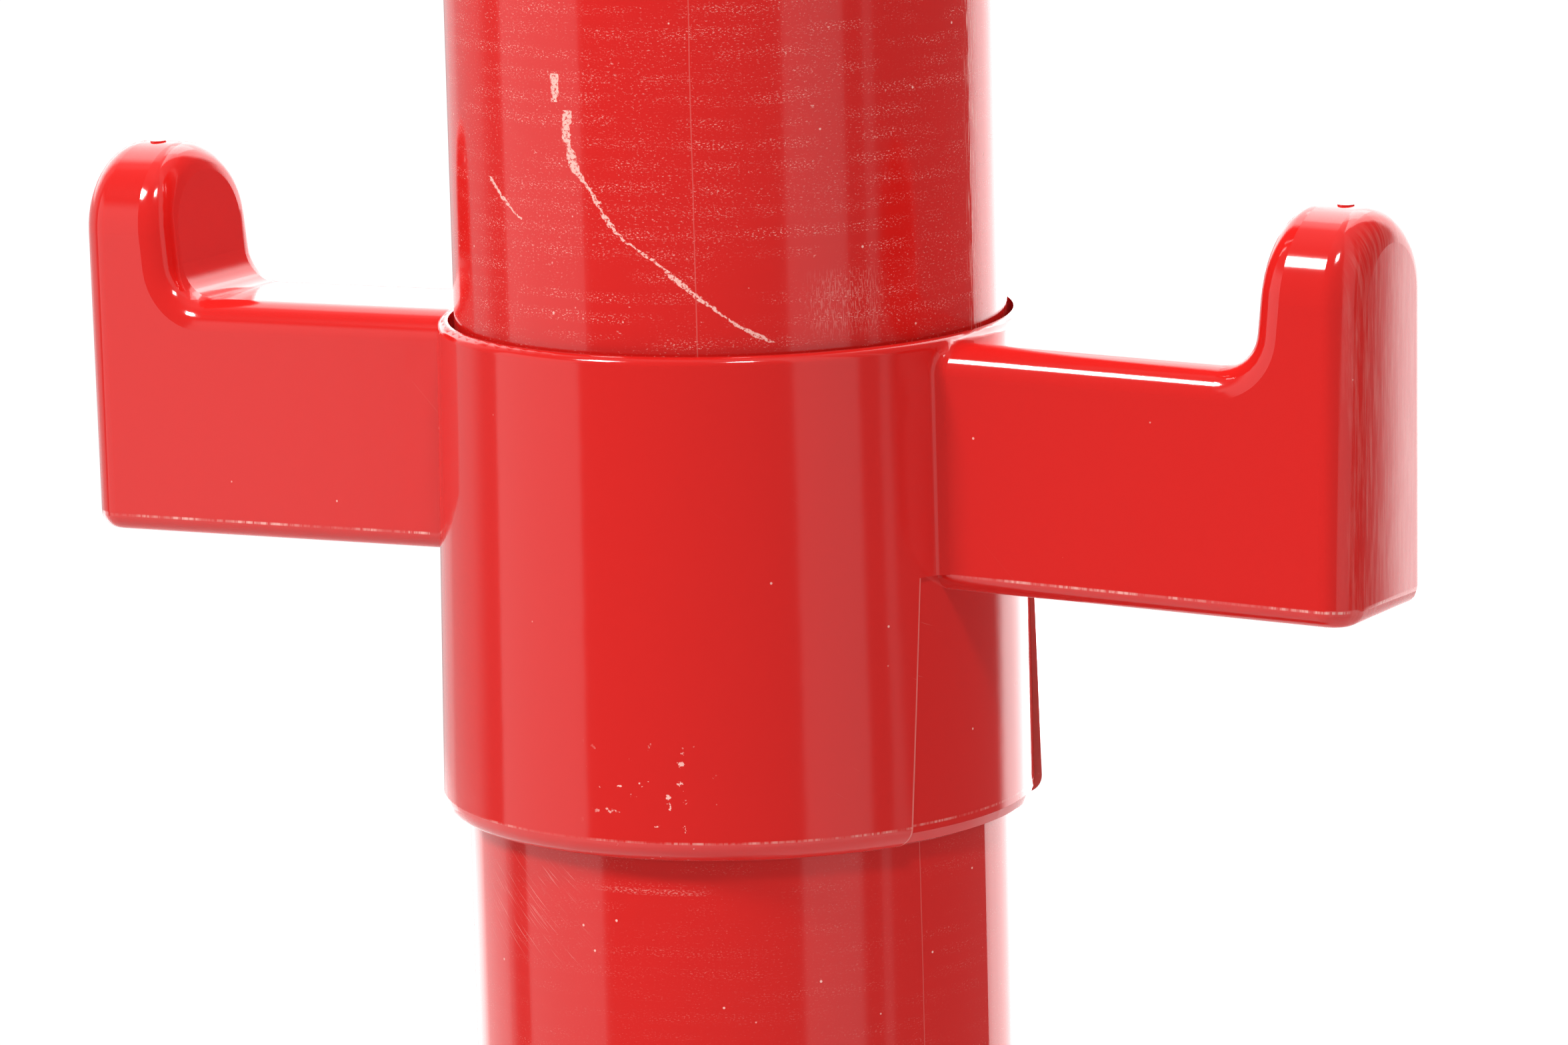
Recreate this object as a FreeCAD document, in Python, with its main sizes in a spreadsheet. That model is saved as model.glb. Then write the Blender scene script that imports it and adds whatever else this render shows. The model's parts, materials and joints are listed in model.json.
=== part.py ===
import FreeCAD, Part
import math
import os
import re
import Sketcher

# A drop-hammer post driver.  A steel guide tube stands over the post.  A hammer tube with a striker
# weight slides on it, between the guide and a plastic outer sleeve.  A moulded collar with two hook
# arms turns freely on the hammer tube and is what the hands lift.
# Millimetres, +Z up along the tubes, +X along the right arm, origin at the centre of the mouth.

os.makedirs("parts", exist_ok=True)
doc = FreeCAD.newDocument("post_driver")
SIZES = doc.addObject("Spreadsheet::Sheet", "Sizes")

CELLS = [
    # plastic sleeves: 110 mm pipe
    ("sleeve_outer", 55.0), ("sleeve_wall", 3.2), ("sleeve_edge", 2.4),
    # steel tubes, as outer radius and wall
    ("guide_outer", 44.45), ("guide_wall", 3.2), ("guide_top", 560.0),
    ("hammer_outer", 50.0), ("hammer_wall", 3.0), ("hammer_foot", 160.0), ("hammer_top", 688.0),
    ("stroke", 300.0), ("running_gap", 0.08), ("free_gap", 0.3), ("strike_gap", 0.1),
    # how far a cutting outline runs past the metal it cuts
    ("cut_past", 1.0),
    # foot ring
    ("foot_outer", 66.0), ("foot_flange", 10.0), ("foot_boss_top", 30.0), ("foot_edge", 2.5),
    ("foot_boss_gap", 0.1), ("foot_bevel", 1.0),
    # anvil and pad
    ("anvil_outer", 46.0), ("anvil_thick", 16.0), ("spigot_long", 10.0), ("spigot_gap", 0.1),
    ("anvil_edge", 1.5), ("tapping_deep", 18.0), ("seat_step", 0.5), ("seat_drop", 0.5),
    ("pad_thick", 10.0), ("pad_gap", 0.35), ("pad_screw_shank", 3.9), ("pad_screw_head", 8.0),
    ("pad_screw_long", 26.0), ("pad_screw_sink", 1.0), ("recess_deep", 2.0), ("recess_half", 2.0),
    ("recess_mouth", 2.6),
    # bushes and rings that stop the stroke
    ("bush_long", 25.0), ("bush_flange", 2.0), ("stop_ring_thick", 5.0), ("ring_groove", 1.2),
    ("ring_gap", 0.1), ("stop_ring_outer", 46.5), ("snap_gap_half", 7.0),
    # striker
    ("strike_plate_thick", 12.0), ("striker_gap", 0.2), ("striker_chamfer", 2.0),
    # upper sleeve and its packing rings
    ("sleeve_foot_drop", 3.5), ("sleeve_edge_low", 0.8), ("packing_long", 18.0),
    ("packing_inset", 6.0),
    # head cap
    ("cap_thick", 12.0), ("cap_edge", 5.0),
    ("cap_bolt_circle", 30.0), ("cap_screw_shank", 3.0), ("cap_screw_head", 5.25),
    ("cap_screw_head_thick", 3.3), ("cap_screw_long", 30.0), ("cap_hole", 3.4),
    ("washer_outer", 8.0), ("washer_thick", 1.6), ("cap_screw_count", 3), ("hex_half", 2.0),
    ("hex_deep", 2.0), ("button_shoulder", 0.45), ("button_crown", 0.6),
    ("cap_dish", 2.5), ("cap_dish_radius", 44.0),
    # radial screws
    ("weight_screw_count", 4), ("weight_screw_shank", 4.0), ("weight_screw_head", 7.6),
    ("weight_screw_long", 20.0), ("weight_screw_height", 638.0), ("weight_sink_deep", 12.0),
    ("bush_screw_count", 3), ("bush_screw_shank", 2.0), ("bush_screw_head", 3.6),
    ("bush_screw_long", 5.0), ("bush_screw_height", 172.0), ("bush_sink_deep", 8.0),
    ("foot_screw_count", 4), ("foot_screw_shank", 2.5), ("foot_screw_head", 4.75),
    ("foot_screw_head_thick", 2.75), ("foot_screw_long", 10.0), ("foot_screw_height", 20.0),
    ("shank_gap", 0.1), ("socket_deep", 1.6), ("socket_half", 1.5),
    # wiper ring in the lower sleeve's top
    ("sleeve_top", 505.0), ("wiper_long", 12.0), ("wiper_lip", 2.0), ("wiper_inset", 0.9),
    # hook collar
    ("collar_top", 540.0), ("collar_height", 99.2), ("collar_rim_outer", 58.5),
    ("collar_belly", 60.15), ("lip_round", 4.1), ("strip_lip_round", 2.8),
    ("rim_inner", 56.3), ("rim_edge", 1.7), ("skirt_inner", 55.35),
    ("mouth_ease", 0.5), ("mouth_land", 1.0), ("mouth_high", 3.0),
    ("ledge_top", 6.5), ("ledge_thick", 7.5), ("ledge_inner", 52.6),
    ("strip_radius", 58.6), ("strip_top", 46.0), ("strip_half_top", 23.0), ("strip_half_foot", 27.2),
    # arms, measured from the collar's axis and top plane before they are turned down by the droop
    ("arm_reach", 145.2), ("arm_half", 18.3), ("arm_foot", 48.5), ("arm_root", 50.0),
    ("arm_droop", 1.03), ("arm_draft", 0.9), ("finger_foot", 122.6), ("finger_tip", 125.1),
    ("finger_top", 30.4), ("corner_inner", 7.5), ("edge_inner", 6.0), ("edge_outer", 6.6),
    ("edge_foot", 3.9), ("root_fillet", 3.0), ("gate_radius", 1.7), ("gate_proud", 0.25),
    ("gate_reach", 135.4), ("gate_sunk", 2.0),
    # cored underside of the arms and the covers that close it
    ("core_half", 12.6), ("core_start", 66.5), ("core_end", 139.0), ("core_roof", 4.5),
    ("rib_half", 4.0), ("rib_first", 90.0), ("rib_second", 116.0),
    ("finger_core_start", 129.5), ("finger_core_half", 10.0), ("finger_core_top", 14.0),
    ("cover_thick", 2.6), ("cover_half", 14.2), ("cover_start", 64.5), ("cover_end", 140.8),
    ("cover_gap", 0.15), ("cover_screw_shank", 1.6),
    ("cover_screw_head", 3.1), ("cover_screw_long", 14.0), ("cover_screw_sink", 0.2),
    ("cover_drive_deep", 1.2), ("cover_drive_half", 0.9), ("pilot_spare", 2.0),
    # thrust washers and snap ring that hold the collar on the hammer tube
    ("thrust_thick", 2.2), ("thrust_outer", 54.6), ("thrust_gap", 0.4), ("snap_ring_thick", 3.0),
    ("snap_ring_outer", 54.0), ("collar_bush_gap", 0.08),
]
for row, (alias, size) in enumerate(CELLS, start=1):
    SIZES.set("A%d" % row, alias)
    SIZES.set("B%d" % row, str(size))
    SIZES.setAlias("B%d" % row, alias)
doc.recompute()


# heights that several pieces share, in words
SNAP_RING_TOP = "collar_top - ledge_top - ledge_thick - thrust_gap - thrust_thick"
UPPER_SLEEVE_FOOT = "collar_top - sleeve_foot_drop"
STOP_RING_FOOT = "hammer_foot + bush_long + stroke + free_gap"
STRIKE_FACE = "guide_top + anvil_thick + strike_gap"


def cell(words):
    """Turn plain words such as 'sleeve_outer - 2' into an expression on the sheet."""
    known = {alias for alias, _ in CELLS}

    def named(match):
        word = match.group()
        return "Sizes." + word if word in known else word
    return re.sub(r"\b[a-z_]+\b", named, words)


def value(words):
    """The number that an expression gives now."""
    return float(SIZES.evalExpression(cell(words)))


def origin_plane(body, role):
    for feature in body.Origin.OriginFeatures:
        if feature.Role == role:
            return feature
    raise RuntimeError("no plane " + role)


def new_body(label):
    body = doc.addObject("PartDesign::Body", label)
    body.Label = label
    return body


def new_sketch(body, name, role):
    sketch = body.newObject("Sketcher::SketchObject", name)
    sketch.AttachmentSupport = [(origin_plane(body, role), "")]
    sketch.MapMode = "FlatFace"
    return sketch


def pin(sketch, index, point, axis, words):
    """Hold one end of a line at a signed distance from the sketch's origin."""
    number = sketch.addConstraint(Sketcher.Constraint(axis, -1, 1, index, point, value(words)))
    sketch.setExpression("Constraints[%d]" % number, cell(words))


def outline(sketch, points):
    """Draw a closed run of straight lines through points given as (across, up) in words."""
    spots = [FreeCAD.Vector(value(across), value(up), 0) for across, up in points]
    count = len(spots)
    first = sketch.GeometryCount
    for index in range(count):
        sketch.addGeometry(Part.LineSegment(spots[index], spots[(index + 1) % count]), False)
    for index in range(count):
        following = first + (index + 1) % count
        sketch.addConstraint(Sketcher.Constraint("Coincident", first + index, 2, following, 1))
    for index, (across, up) in enumerate(points):
        pin(sketch, first + index, 1, "DistanceX", across)
        pin(sketch, first + index, 1, "DistanceY", up)


def circle(sketch, across, up, radius):
    centre = FreeCAD.Vector(value(across), value(up), 0)
    normal = FreeCAD.Vector(0, 0, 1)
    index = sketch.addGeometry(Part.Circle(centre, normal, value(radius)), False)
    size = sketch.addConstraint(Sketcher.Constraint("Radius", index, value(radius)))
    sketch.setExpression("Constraints[%d]" % size, cell(radius))
    pin(sketch, index, 3, "DistanceX", across)
    pin(sketch, index, 3, "DistanceY", up)


def turned(body, name, points, cut=False):
    """Turn a profile of (radius, height) points once round the Z axis, adding or cutting."""
    sketch = new_sketch(body, name + "_profile", "XZ_Plane")
    outline(sketch, points)
    kind = "PartDesign::Groove" if cut else "PartDesign::Revolution"
    feature = body.newObject(kind, name)
    feature.Profile = sketch
    feature.ReferenceAxis = (sketch, ["V_Axis"])
    feature.Angle = 360
    doc.recompute()
    return feature


def ring(label, inner, outer, low, high):
    """A plain turned ring or tube."""
    body = new_body(label)
    turned(body, label + "_turned", [(inner, low), (outer, low), (outer, high), (inner, high)])
    return body


def edges_where(feature, test):
    names = []
    for number, edge in enumerate(feature.Shape.Edges, start=1):
        if test(edge):
            names.append("Edge%d" % number)
    return names


def rounded(body, base, name, radius, test):
    """Fillet the edges of the last feature that pass the test."""
    fillet = body.newObject("PartDesign::Fillet", name)
    fillet.Base = (base, edges_where(base, test))
    fillet.setExpression("Radius", cell(radius))
    doc.recompute()
    return fillet


def bevelled(body, base, name, size, test):
    chamfer = body.newObject("PartDesign::Chamfer", name)
    chamfer.Base = (base, edges_where(base, test))
    chamfer.setExpression("Size", cell(size))
    doc.recompute()
    return chamfer


def circle_at(radius, height):
    """A test for the circular edges of one radius at one height."""
    wanted_radius = value(radius)
    wanted_height = value(height)

    def test(edge):
        if not isinstance(edge.Curve, Part.Circle):
            return False
        same = 0.02
        near = abs(edge.Curve.Radius - wanted_radius) < same
        return near and abs(edge.Curve.Center.z - wanted_height) < same
    return test


def around(body, features, name, count):
    """Repeat features evenly round the Z axis."""
    pattern = body.newObject("PartDesign::PolarPattern", name)
    pattern.Originals = features
    pattern.Axis = (origin_plane(body, "Z_Axis"), [""])
    pattern.Angle = 360
    pattern.setExpression("Occurrences", cell(count))
    body.Tip = pattern
    doc.recompute()
    return pattern


def guide_tube():
    """Steel tube over the post, with a stop ring groove outside and a wider seat in its top."""
    body = new_body("guide_tube")
    bore = "guide_outer - guide_wall"
    seat = bore + " + seat_step"
    shoulder = "guide_top - spigot_long - pad_thick - seat_drop"
    turned(body, "guide_tube_turned", [
        (bore, "0"), ("guide_outer", "0"), ("guide_outer", "guide_top"), (seat, "guide_top"),
        (seat, shoulder), (bore, shoulder)])
    groove_floor = "guide_outer - ring_groove"
    low = STOP_RING_FOOT
    high = STOP_RING_FOOT + " + stop_ring_thick"
    turned(body, "guide_tube_groove", [
        (groove_floor, low), ("guide_outer + cut_past", low),
        ("guide_outer + cut_past", high),
        (groove_floor, high)], cut=True)


def foot_ring():
    """Flat steel ring round the mouth, with a boss that carries the lower sleeve."""
    body = new_body("foot_ring")
    boss = "sleeve_outer - sleeve_wall - foot_boss_gap"
    base = turned(body, "foot_ring_turned", [
        ("guide_outer", "0"), ("foot_outer", "0"), ("foot_outer", "foot_flange"),
        (boss, "foot_flange"), (boss, "foot_boss_top"), ("guide_outer", "foot_boss_top")])
    top = rounded(body, base, "foot_ring_top_edge", "foot_edge",
                  circle_at("foot_outer", "foot_flange"))
    bottom = bevelled(body, top, "foot_ring_bottom_edge", "foot_bevel",
                      circle_at("foot_outer", "0"))
    body.Tip = bottom
    hole = radial_hole(body, "foot_ring_tapping", "foot_screw_shank + shank_gap",
                       "foot_screw_height", "sleeve_outer", "foot_screw_long")
    around(body, [hole], "foot_ring_tappings", "foot_screw_count")


def radial_hole(body, name, radius, height, from_radius, depth):
    """Drill one hole towards the axis from +X, starting at a radius."""
    sketch = new_sketch(body, name + "_circle", "YZ_Plane")
    sketch.setExpression(".AttachmentOffset.Base.z", cell(from_radius))
    doc.recompute()
    circle(sketch, "0", height, radius)
    pocket = body.newObject("PartDesign::Pocket", name)
    pocket.Profile = sketch
    pocket.Type = "Length"
    pocket.setExpression("Length", cell(depth))
    doc.recompute()
    return pocket


def radial_screws(label, shank, head, head_thick, long, height, seat, count, flush):
    """Screws pointing at the axis.  A flush head is a cone, a button head stands out of the seat."""
    body = new_body(label)
    sketch = new_sketch(body, label + "_profile", "XZ_Plane")
    tip = seat + " - (" + long + ")"
    if flush:
        neck = seat + " - (" + head + ") + (" + shank + ")"
        points = [(tip, height), (seat, height), (seat, height + " + " + head),
                  (neck, height + " + " + shank), (tip, height + " + " + shank)]
    else:
        crown = seat + " + " + head_thick
        points = [(tip, height), (crown, height), (crown, height + " + button_crown * " + head),
                  (seat + " + button_shoulder * " + head_thick, height + " + " + head),
                  (seat, height + " + " + head), (seat, height + " + " + shank),
                  (tip, height + " + " + shank)]
    outline(sketch, points)
    screw = body.newObject("PartDesign::Revolution", label + "_turned")
    screw.Profile = sketch
    screw.ReferenceAxis = (sketch, ["Edge1"])
    screw.Angle = 360
    body.AllowCompound = True
    doc.recompute()
    features = [screw]
    if not flush:
        socket_sketch = new_sketch(body, label + "_socket_hexagon", "YZ_Plane")
        socket_sketch.setExpression(".AttachmentOffset.Base.z", cell(seat + " + " + head_thick))
        doc.recompute()
        hexagon(socket_sketch, "0", height, "socket_half")
        socket = body.newObject("PartDesign::Pocket", label + "_socket")
        socket.Profile = socket_sketch
        socket.Type = "Length"
        socket.setExpression("Length", cell("socket_deep"))
        doc.recompute()
        features.append(socket)
    around(body, features, label + "_pattern", count)


def hexagon(sketch, across, up, half):
    """A hexagon socket, given half its width across flats."""
    corners = []
    for side in range(6):
        angle = str(60 * side)
        corners.append((across + " + " + half + " / cos(30deg) * cos(" + angle + "deg)",
                        up + " + " + half + " / cos(30deg) * sin(" + angle + "deg)"))
    outline(sketch, corners)


def anvil_plate():
    """Steel plate welded on the guide tube's top, with a spigot inside it and a tapped hole."""
    body = new_body("anvil_plate")
    spigot = "guide_outer - guide_wall + seat_step - spigot_gap"
    low = "guide_top - spigot_long"
    tapping = "pad_screw_shank + shank_gap"
    depth = "guide_top - spigot_long + tapping_deep"
    base = turned(body, "anvil_plate_turned", [
        (tapping, low), (spigot, low), (spigot, "guide_top"), ("anvil_outer", "guide_top"),
        ("anvil_outer", "guide_top + anvil_thick"), ("0", "guide_top + anvil_thick"),
        ("0", depth), (tapping, depth)])
    body.Tip = bevelled(body, base, "anvil_plate_edge", "anvil_edge",
                        circle_at("anvil_outer", "guide_top + anvil_thick"))


def post_pad():
    """Tough plastic disc at the end of the socket that saves the post's head."""
    body = new_body("post_pad")
    outer = "guide_outer - guide_wall + seat_step - pad_gap"
    high = "guide_top - spigot_long"
    low = "guide_top - spigot_long - pad_thick"
    hole = "pad_screw_shank + shank_gap"
    head = "pad_screw_head + shank_gap"
    cone_foot = low + " + pad_screw_sink"
    cone_top = cone_foot + " + pad_screw_head - pad_screw_shank"
    turned(body, "post_pad_turned", [
        (head, low), (outer, low), (outer, high), (hole, high), (hole, cone_top),
        (head, cone_foot)])


def pad_screw():
    """Countersunk screw up through the pad into the anvil."""
    body = new_body("pad_screw")
    face = "guide_top - spigot_long - pad_thick + pad_screw_sink"
    neck = face + " + pad_screw_head - pad_screw_shank"
    turned(body, "pad_screw_turned", [
        ("0", face + " + recess_deep"), ("recess_half", face + " + recess_deep"),
        ("recess_mouth", face), ("pad_screw_head", face),
        ("pad_screw_shank", neck), ("pad_screw_shank", face + " + pad_screw_long"),
        ("0", face + " + pad_screw_long")])


def guide_bush():
    """Nylon bush at the guide's top that runs in the hammer tube."""
    ring("guide_bush", "guide_outer", "hammer_outer - hammer_wall - running_gap",
         "guide_top - bush_long", "guide_top")


def snap_ring(label, inner, outer, low, thick):
    """An open spring ring: a turned ring with a gap cut across its front."""
    body = new_body(label)
    turned(body, label + "_turned", [
        (inner, low), (outer, low), (outer, low + " + " + thick), (inner, low + " + " + thick)])
    sketch = new_sketch(body, label + "_gap_sketch", "XY_Plane")
    sketch.setExpression(".AttachmentOffset.Base.z", cell(low + " - cut_past"))
    doc.recompute()
    front = "0 - " + outer + " - cut_past"
    back = "snap_gap_half - ( " + inner + " )"
    outline(sketch, [("0 - snap_gap_half", front), ("snap_gap_half", front),
                     ("snap_gap_half", back), ("0 - snap_gap_half", back)])
    gap = body.newObject("PartDesign::Pocket", label + "_gap")
    gap.Profile = sketch
    gap.Type = "Length"
    gap.Reversed = True
    gap.setExpression("Length", cell(thick + " + 2 * cut_past"))
    doc.recompute()


def lower_bush():
    """Nylon bush in the hammer tube's foot that runs on the guide, with a lip under the tube."""
    body = new_body("lower_bush")
    bore = "guide_outer + running_gap"
    inside = "hammer_outer - hammer_wall"
    turned(body, "lower_bush_turned", [
        (bore, "hammer_foot - bush_flange"), ("hammer_outer", "hammer_foot - bush_flange"),
        ("hammer_outer", "hammer_foot"), (inside, "hammer_foot"),
        (inside, "hammer_foot + bush_long"), (bore, "hammer_foot + bush_long")])
    hole = radial_hole(body, "lower_bush_drilling", "bush_screw_shank + shank_gap",
                       "bush_screw_height", "hammer_outer", "bush_sink_deep")
    around(body, [hole], "lower_bush_drillings", "bush_screw_count")


def countersunk_hole(body, name, shank, head, height, depth):
    """One countersunk hole towards the axis through the hammer tube, cut by turning a profile."""
    sketch = new_sketch(body, name + "_profile", "XZ_Plane")
    seat = "hammer_outer"
    wide = head + " + shank_gap"
    narrow = shank + " + shank_gap"
    outline(sketch, [
        (seat + " - " + depth, height), (seat + " + cut_past", height),
        (seat + " + cut_past", height + " + " + wide), (seat, height + " + " + wide),
        (seat + " - " + head + " + " + shank, height + " + " + narrow),
        (seat + " - " + depth, height + " + " + narrow)])
    groove = body.newObject("PartDesign::Groove", name)
    groove.Profile = sketch
    groove.ReferenceAxis = (sketch, ["Edge1"])
    groove.Angle = 360
    doc.recompute()
    return groove


def hammer_tube():
    """Steel tube of the hammer, with a snap ring groove and countersunk screw holes."""
    body = new_body("hammer_tube")
    bore = "hammer_outer - hammer_wall"
    turned(body, "hammer_tube_turned", [
        (bore, "hammer_foot"), ("hammer_outer", "hammer_foot"), ("hammer_outer", "hammer_top"),
        (bore, "hammer_top")])
    floor = "hammer_outer - ring_groove"
    high = SNAP_RING_TOP
    low = SNAP_RING_TOP + " - snap_ring_thick"
    turned(body, "hammer_tube_groove", [
        (floor, low), ("hammer_outer + cut_past", low), ("hammer_outer + cut_past", high),
        (floor, high)], cut=True)
    weight_hole = countersunk_hole(body, "hammer_tube_weight_hole", "weight_screw_shank",
                                   "weight_screw_head", "weight_screw_height",
                                   "weight_sink_deep")
    around(body, [weight_hole], "hammer_tube_weight_holes", "weight_screw_count")
    bush_hole = countersunk_hole(body, "hammer_tube_bush_hole", "bush_screw_shank",
                                 "bush_screw_head", "bush_screw_height", "bush_sink_deep")
    around(body, [bush_hole], "hammer_tube_bush_holes", "bush_screw_count")


def strike_plate():
    """Hardened disc under the weight that meets the anvil."""
    body = new_body("strike_plate")
    outer = "hammer_outer - hammer_wall - striker_gap"
    low = STRIKE_FACE
    high = STRIKE_FACE + " + strike_plate_thick"
    base = turned(body, "strike_plate_turned", [
        ("0", low), (outer, low), (outer, high), ("0", high)])
    body.Tip = bevelled(body, base, "strike_plate_edge", "striker_chamfer", circle_at(outer, low))


def striker_weight():
    """Steel weight in the hammer's head, drilled for the side screws and tapped for the cap."""
    body = new_body("striker_weight")
    outer = "hammer_outer - hammer_wall - striker_gap"
    low = STRIKE_FACE + " + strike_plate_thick"
    turned(body, "striker_weight_turned", [
        ("0", low), (outer, low), (outer, "hammer_top"), ("0", "hammer_top")])
    side = radial_hole(body, "striker_weight_side_hole", "weight_screw_shank + shank_gap",
                       "weight_screw_height", "hammer_outer", "weight_screw_long + cut_past")
    sides = around(body, [side], "striker_weight_side_holes", "weight_screw_count")
    sketch = new_sketch(body, "striker_weight_tapping_circle", "XY_Plane")
    sketch.setExpression(".AttachmentOffset.Base.z", cell("hammer_top"))
    doc.recompute()
    circle(sketch, "cap_bolt_circle", "0", "cap_screw_shank + shank_gap")
    tapping = body.newObject("PartDesign::Pocket", "striker_weight_tapping")
    tapping.Profile = sketch
    tapping.BaseFeature = sides
    tapping.Type = "Length"
    tapping.setExpression("Length", cell("cap_screw_long"))
    doc.recompute()
    around(body, [tapping], "striker_weight_tappings", "cap_screw_count")


def sleeve(label, low, high, edge_height, edge_size):
    """A length of plastic pipe with one outer end edge rounded over."""
    body = new_body(label)
    inner = "sleeve_outer - sleeve_wall"
    base = turned(body, label + "_turned", [
        (inner, low), ("sleeve_outer", low), ("sleeve_outer", high), (inner, high)])
    body.Tip = rounded(body, base, label + "_edge", edge_size,
                       circle_at("sleeve_outer", edge_height))
    return body


def lower_sleeve():
    body = sleeve("lower_sleeve", "foot_flange", "sleeve_top", "sleeve_top", "sleeve_edge_low")
    hole = radial_hole(body, "lower_sleeve_hole", "foot_screw_shank + shank_gap",
                       "foot_screw_height", "sleeve_outer + cut_past",
                       "sleeve_wall + 2 * cut_past")
    around(body, [hole], "lower_sleeve_holes", "foot_screw_count")


def upper_sleeve():
    sleeve("upper_sleeve", UPPER_SLEEVE_FOOT, "hammer_top", UPPER_SLEEVE_FOOT, "sleeve_edge")


def packing_rings():
    """Two nylon rings that centre the upper sleeve on the hammer tube."""
    inner = "hammer_outer"
    outer = "sleeve_outer - sleeve_wall"
    foot = UPPER_SLEEVE_FOOT + " + packing_inset"
    head = "hammer_top - packing_inset - packing_long"
    ring("packing_ring_lower", inner, outer, foot, foot + " + packing_long")
    ring("packing_ring_upper", inner, outer, head, head + " + packing_long")


def wiper_ring():
    """Rubber ring in the top of the lower sleeve that wipes the hammer tube."""
    body = new_body("wiper_ring")
    bore = "hammer_outer + free_gap"
    inside = "sleeve_outer - sleeve_wall"
    turned(body, "wiper_ring_turned", [
        (bore, "sleeve_top - wiper_long"), (inside, "sleeve_top - wiper_long"),
        (inside, "sleeve_top"), ("sleeve_outer - wiper_inset", "sleeve_top"),
        ("sleeve_outer - wiper_inset", "sleeve_top + wiper_lip"), (bore, "sleeve_top + wiper_lip")])


def head_cap():
    """Moulded cap over the hammer's head, dished on top, with a spigot ring in the sleeve."""
    body = new_body("head_cap")
    top = "hammer_top + cap_thick"
    dish = "hammer_top + cap_thick - cap_dish"
    base = turned(body, "head_cap_turned", [
        ("0", "hammer_top"), ("sleeve_outer", "hammer_top"), ("sleeve_outer", top),
        ("cap_dish_radius", top), ("cap_dish_radius - cap_dish", dish), ("0", dish)])
    edge = rounded(body, base, "head_cap_edge", "cap_edge", circle_at("sleeve_outer", top))
    body.Tip = edge
    sketch = new_sketch(body, "head_cap_hole_circle", "XY_Plane")
    sketch.setExpression(".AttachmentOffset.Base.z", cell(top))
    doc.recompute()
    circle(sketch, "cap_bolt_circle", "0", "cap_hole")
    hole = body.newObject("PartDesign::Pocket", "head_cap_hole")
    hole.Profile = sketch
    hole.Type = "Length"
    hole.setExpression("Length", cell("cap_thick + cut_past"))
    doc.recompute()
    around(body, [hole], "head_cap_holes", "cap_screw_count")


def cap_washers():
    body = new_body("cap_washers")
    body.AllowCompound = True
    sketch = new_sketch(body, "cap_washers_circles", "XY_Plane")
    sketch.setExpression(".AttachmentOffset.Base.z", cell("hammer_top + cap_thick - cap_dish"))
    doc.recompute()
    circle(sketch, "cap_bolt_circle", "0", "washer_outer")
    circle(sketch, "cap_bolt_circle", "0", "cap_hole")
    washer = body.newObject("PartDesign::Pad", "cap_washers_washer")
    washer.Profile = sketch
    washer.setExpression("Length", cell("washer_thick"))
    doc.recompute()
    around(body, [washer], "cap_washers_pattern", "cap_screw_count")


def cap_screws():
    """Button head screws that hold the cap down on the weight."""
    body = new_body("cap_screws")
    body.AllowCompound = True
    seat = "hammer_top + cap_thick - cap_dish + washer_thick"
    crown = seat + " + cap_screw_head_thick"
    middle = "cap_bolt_circle"
    sketch = new_sketch(body, "cap_screws_profile", "XZ_Plane")
    outline(sketch, [
        (middle, crown), (middle, seat + " - cap_screw_long"),
        (middle + " + cap_screw_shank", seat + " - cap_screw_long"),
        (middle + " + cap_screw_shank", seat), (middle + " + cap_screw_head", seat),
        (middle + " + cap_screw_head", seat + " + button_shoulder * cap_screw_head_thick"),
        (middle + " + button_crown * cap_screw_head", crown)])
    screw = body.newObject("PartDesign::Revolution", "cap_screws_turned")
    screw.Profile = sketch
    screw.ReferenceAxis = (sketch, ["Edge1"])
    screw.Angle = 360
    doc.recompute()
    socket_sketch = new_sketch(body, "cap_screws_hexagon", "XY_Plane")
    socket_sketch.setExpression(".AttachmentOffset.Base.z", cell(crown))
    doc.recompute()
    hexagon(socket_sketch, middle, "0", "hex_half")
    socket = body.newObject("PartDesign::Pocket", "cap_screws_socket")
    socket.Profile = socket_sketch
    socket.Type = "Length"
    socket.setExpression("Length", cell("hex_deep"))
    doc.recompute()
    around(body, [screw, socket], "cap_screws_pattern", "cap_screw_count")


def strip_cutter():
    """What the mould's lower half leaves off the cone under each arm, as a tool for the collar."""
    body = new_body("strip_cutter")
    body.AllowCompound = True
    foot = "collar_top - collar_height - cut_past"
    sketch = new_sketch(body, "strip_cutter_side", "YZ_Plane")
    outline(sketch, [
        ("0 - strip_half_foot", foot), ("strip_half_foot", foot),
        ("strip_half_top", "collar_top - strip_top"),
        ("0 - strip_half_top", "collar_top - strip_top")])
    prism = body.newObject("PartDesign::Pad", "strip_cutter_prism")
    prism.Profile = sketch
    prism.Midplane = True
    prism.setExpression("Length", cell("2 * ( collar_belly + cut_past )"))
    doc.recompute()
    lip = "strip_radius - strip_lip_round"
    eased = "strip_lip_round * ( 1 - cos( 45deg ) )"
    turned(body, "strip_cutter_core", [
        ("0", "collar_top"), ("0", foot + " - cut_past"), (lip, foot + " - cut_past"),
        (lip, "collar_top - collar_height"),
        ("strip_radius - " + eased, "collar_top - collar_height + " + eased),
        ("strip_radius", "collar_top - collar_height + strip_lip_round"),
        ("strip_radius", "collar_top")], cut=True)
    return body


# the arm's cross section is a drafted slab under a half circle that is tangent to its sides
ARM_DRAFT = "tan( arm_draft * 1deg )"
ARCH_RADIUS = ("( arm_half - ( finger_top + arm_foot ) * " + ARM_DRAFT
               + " ) / ( 1 / cos( arm_draft * 1deg ) - " + ARM_DRAFT + " )")
ARCH_CENTRE = "finger_top - ( " + ARCH_RADIUS + " )"


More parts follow.
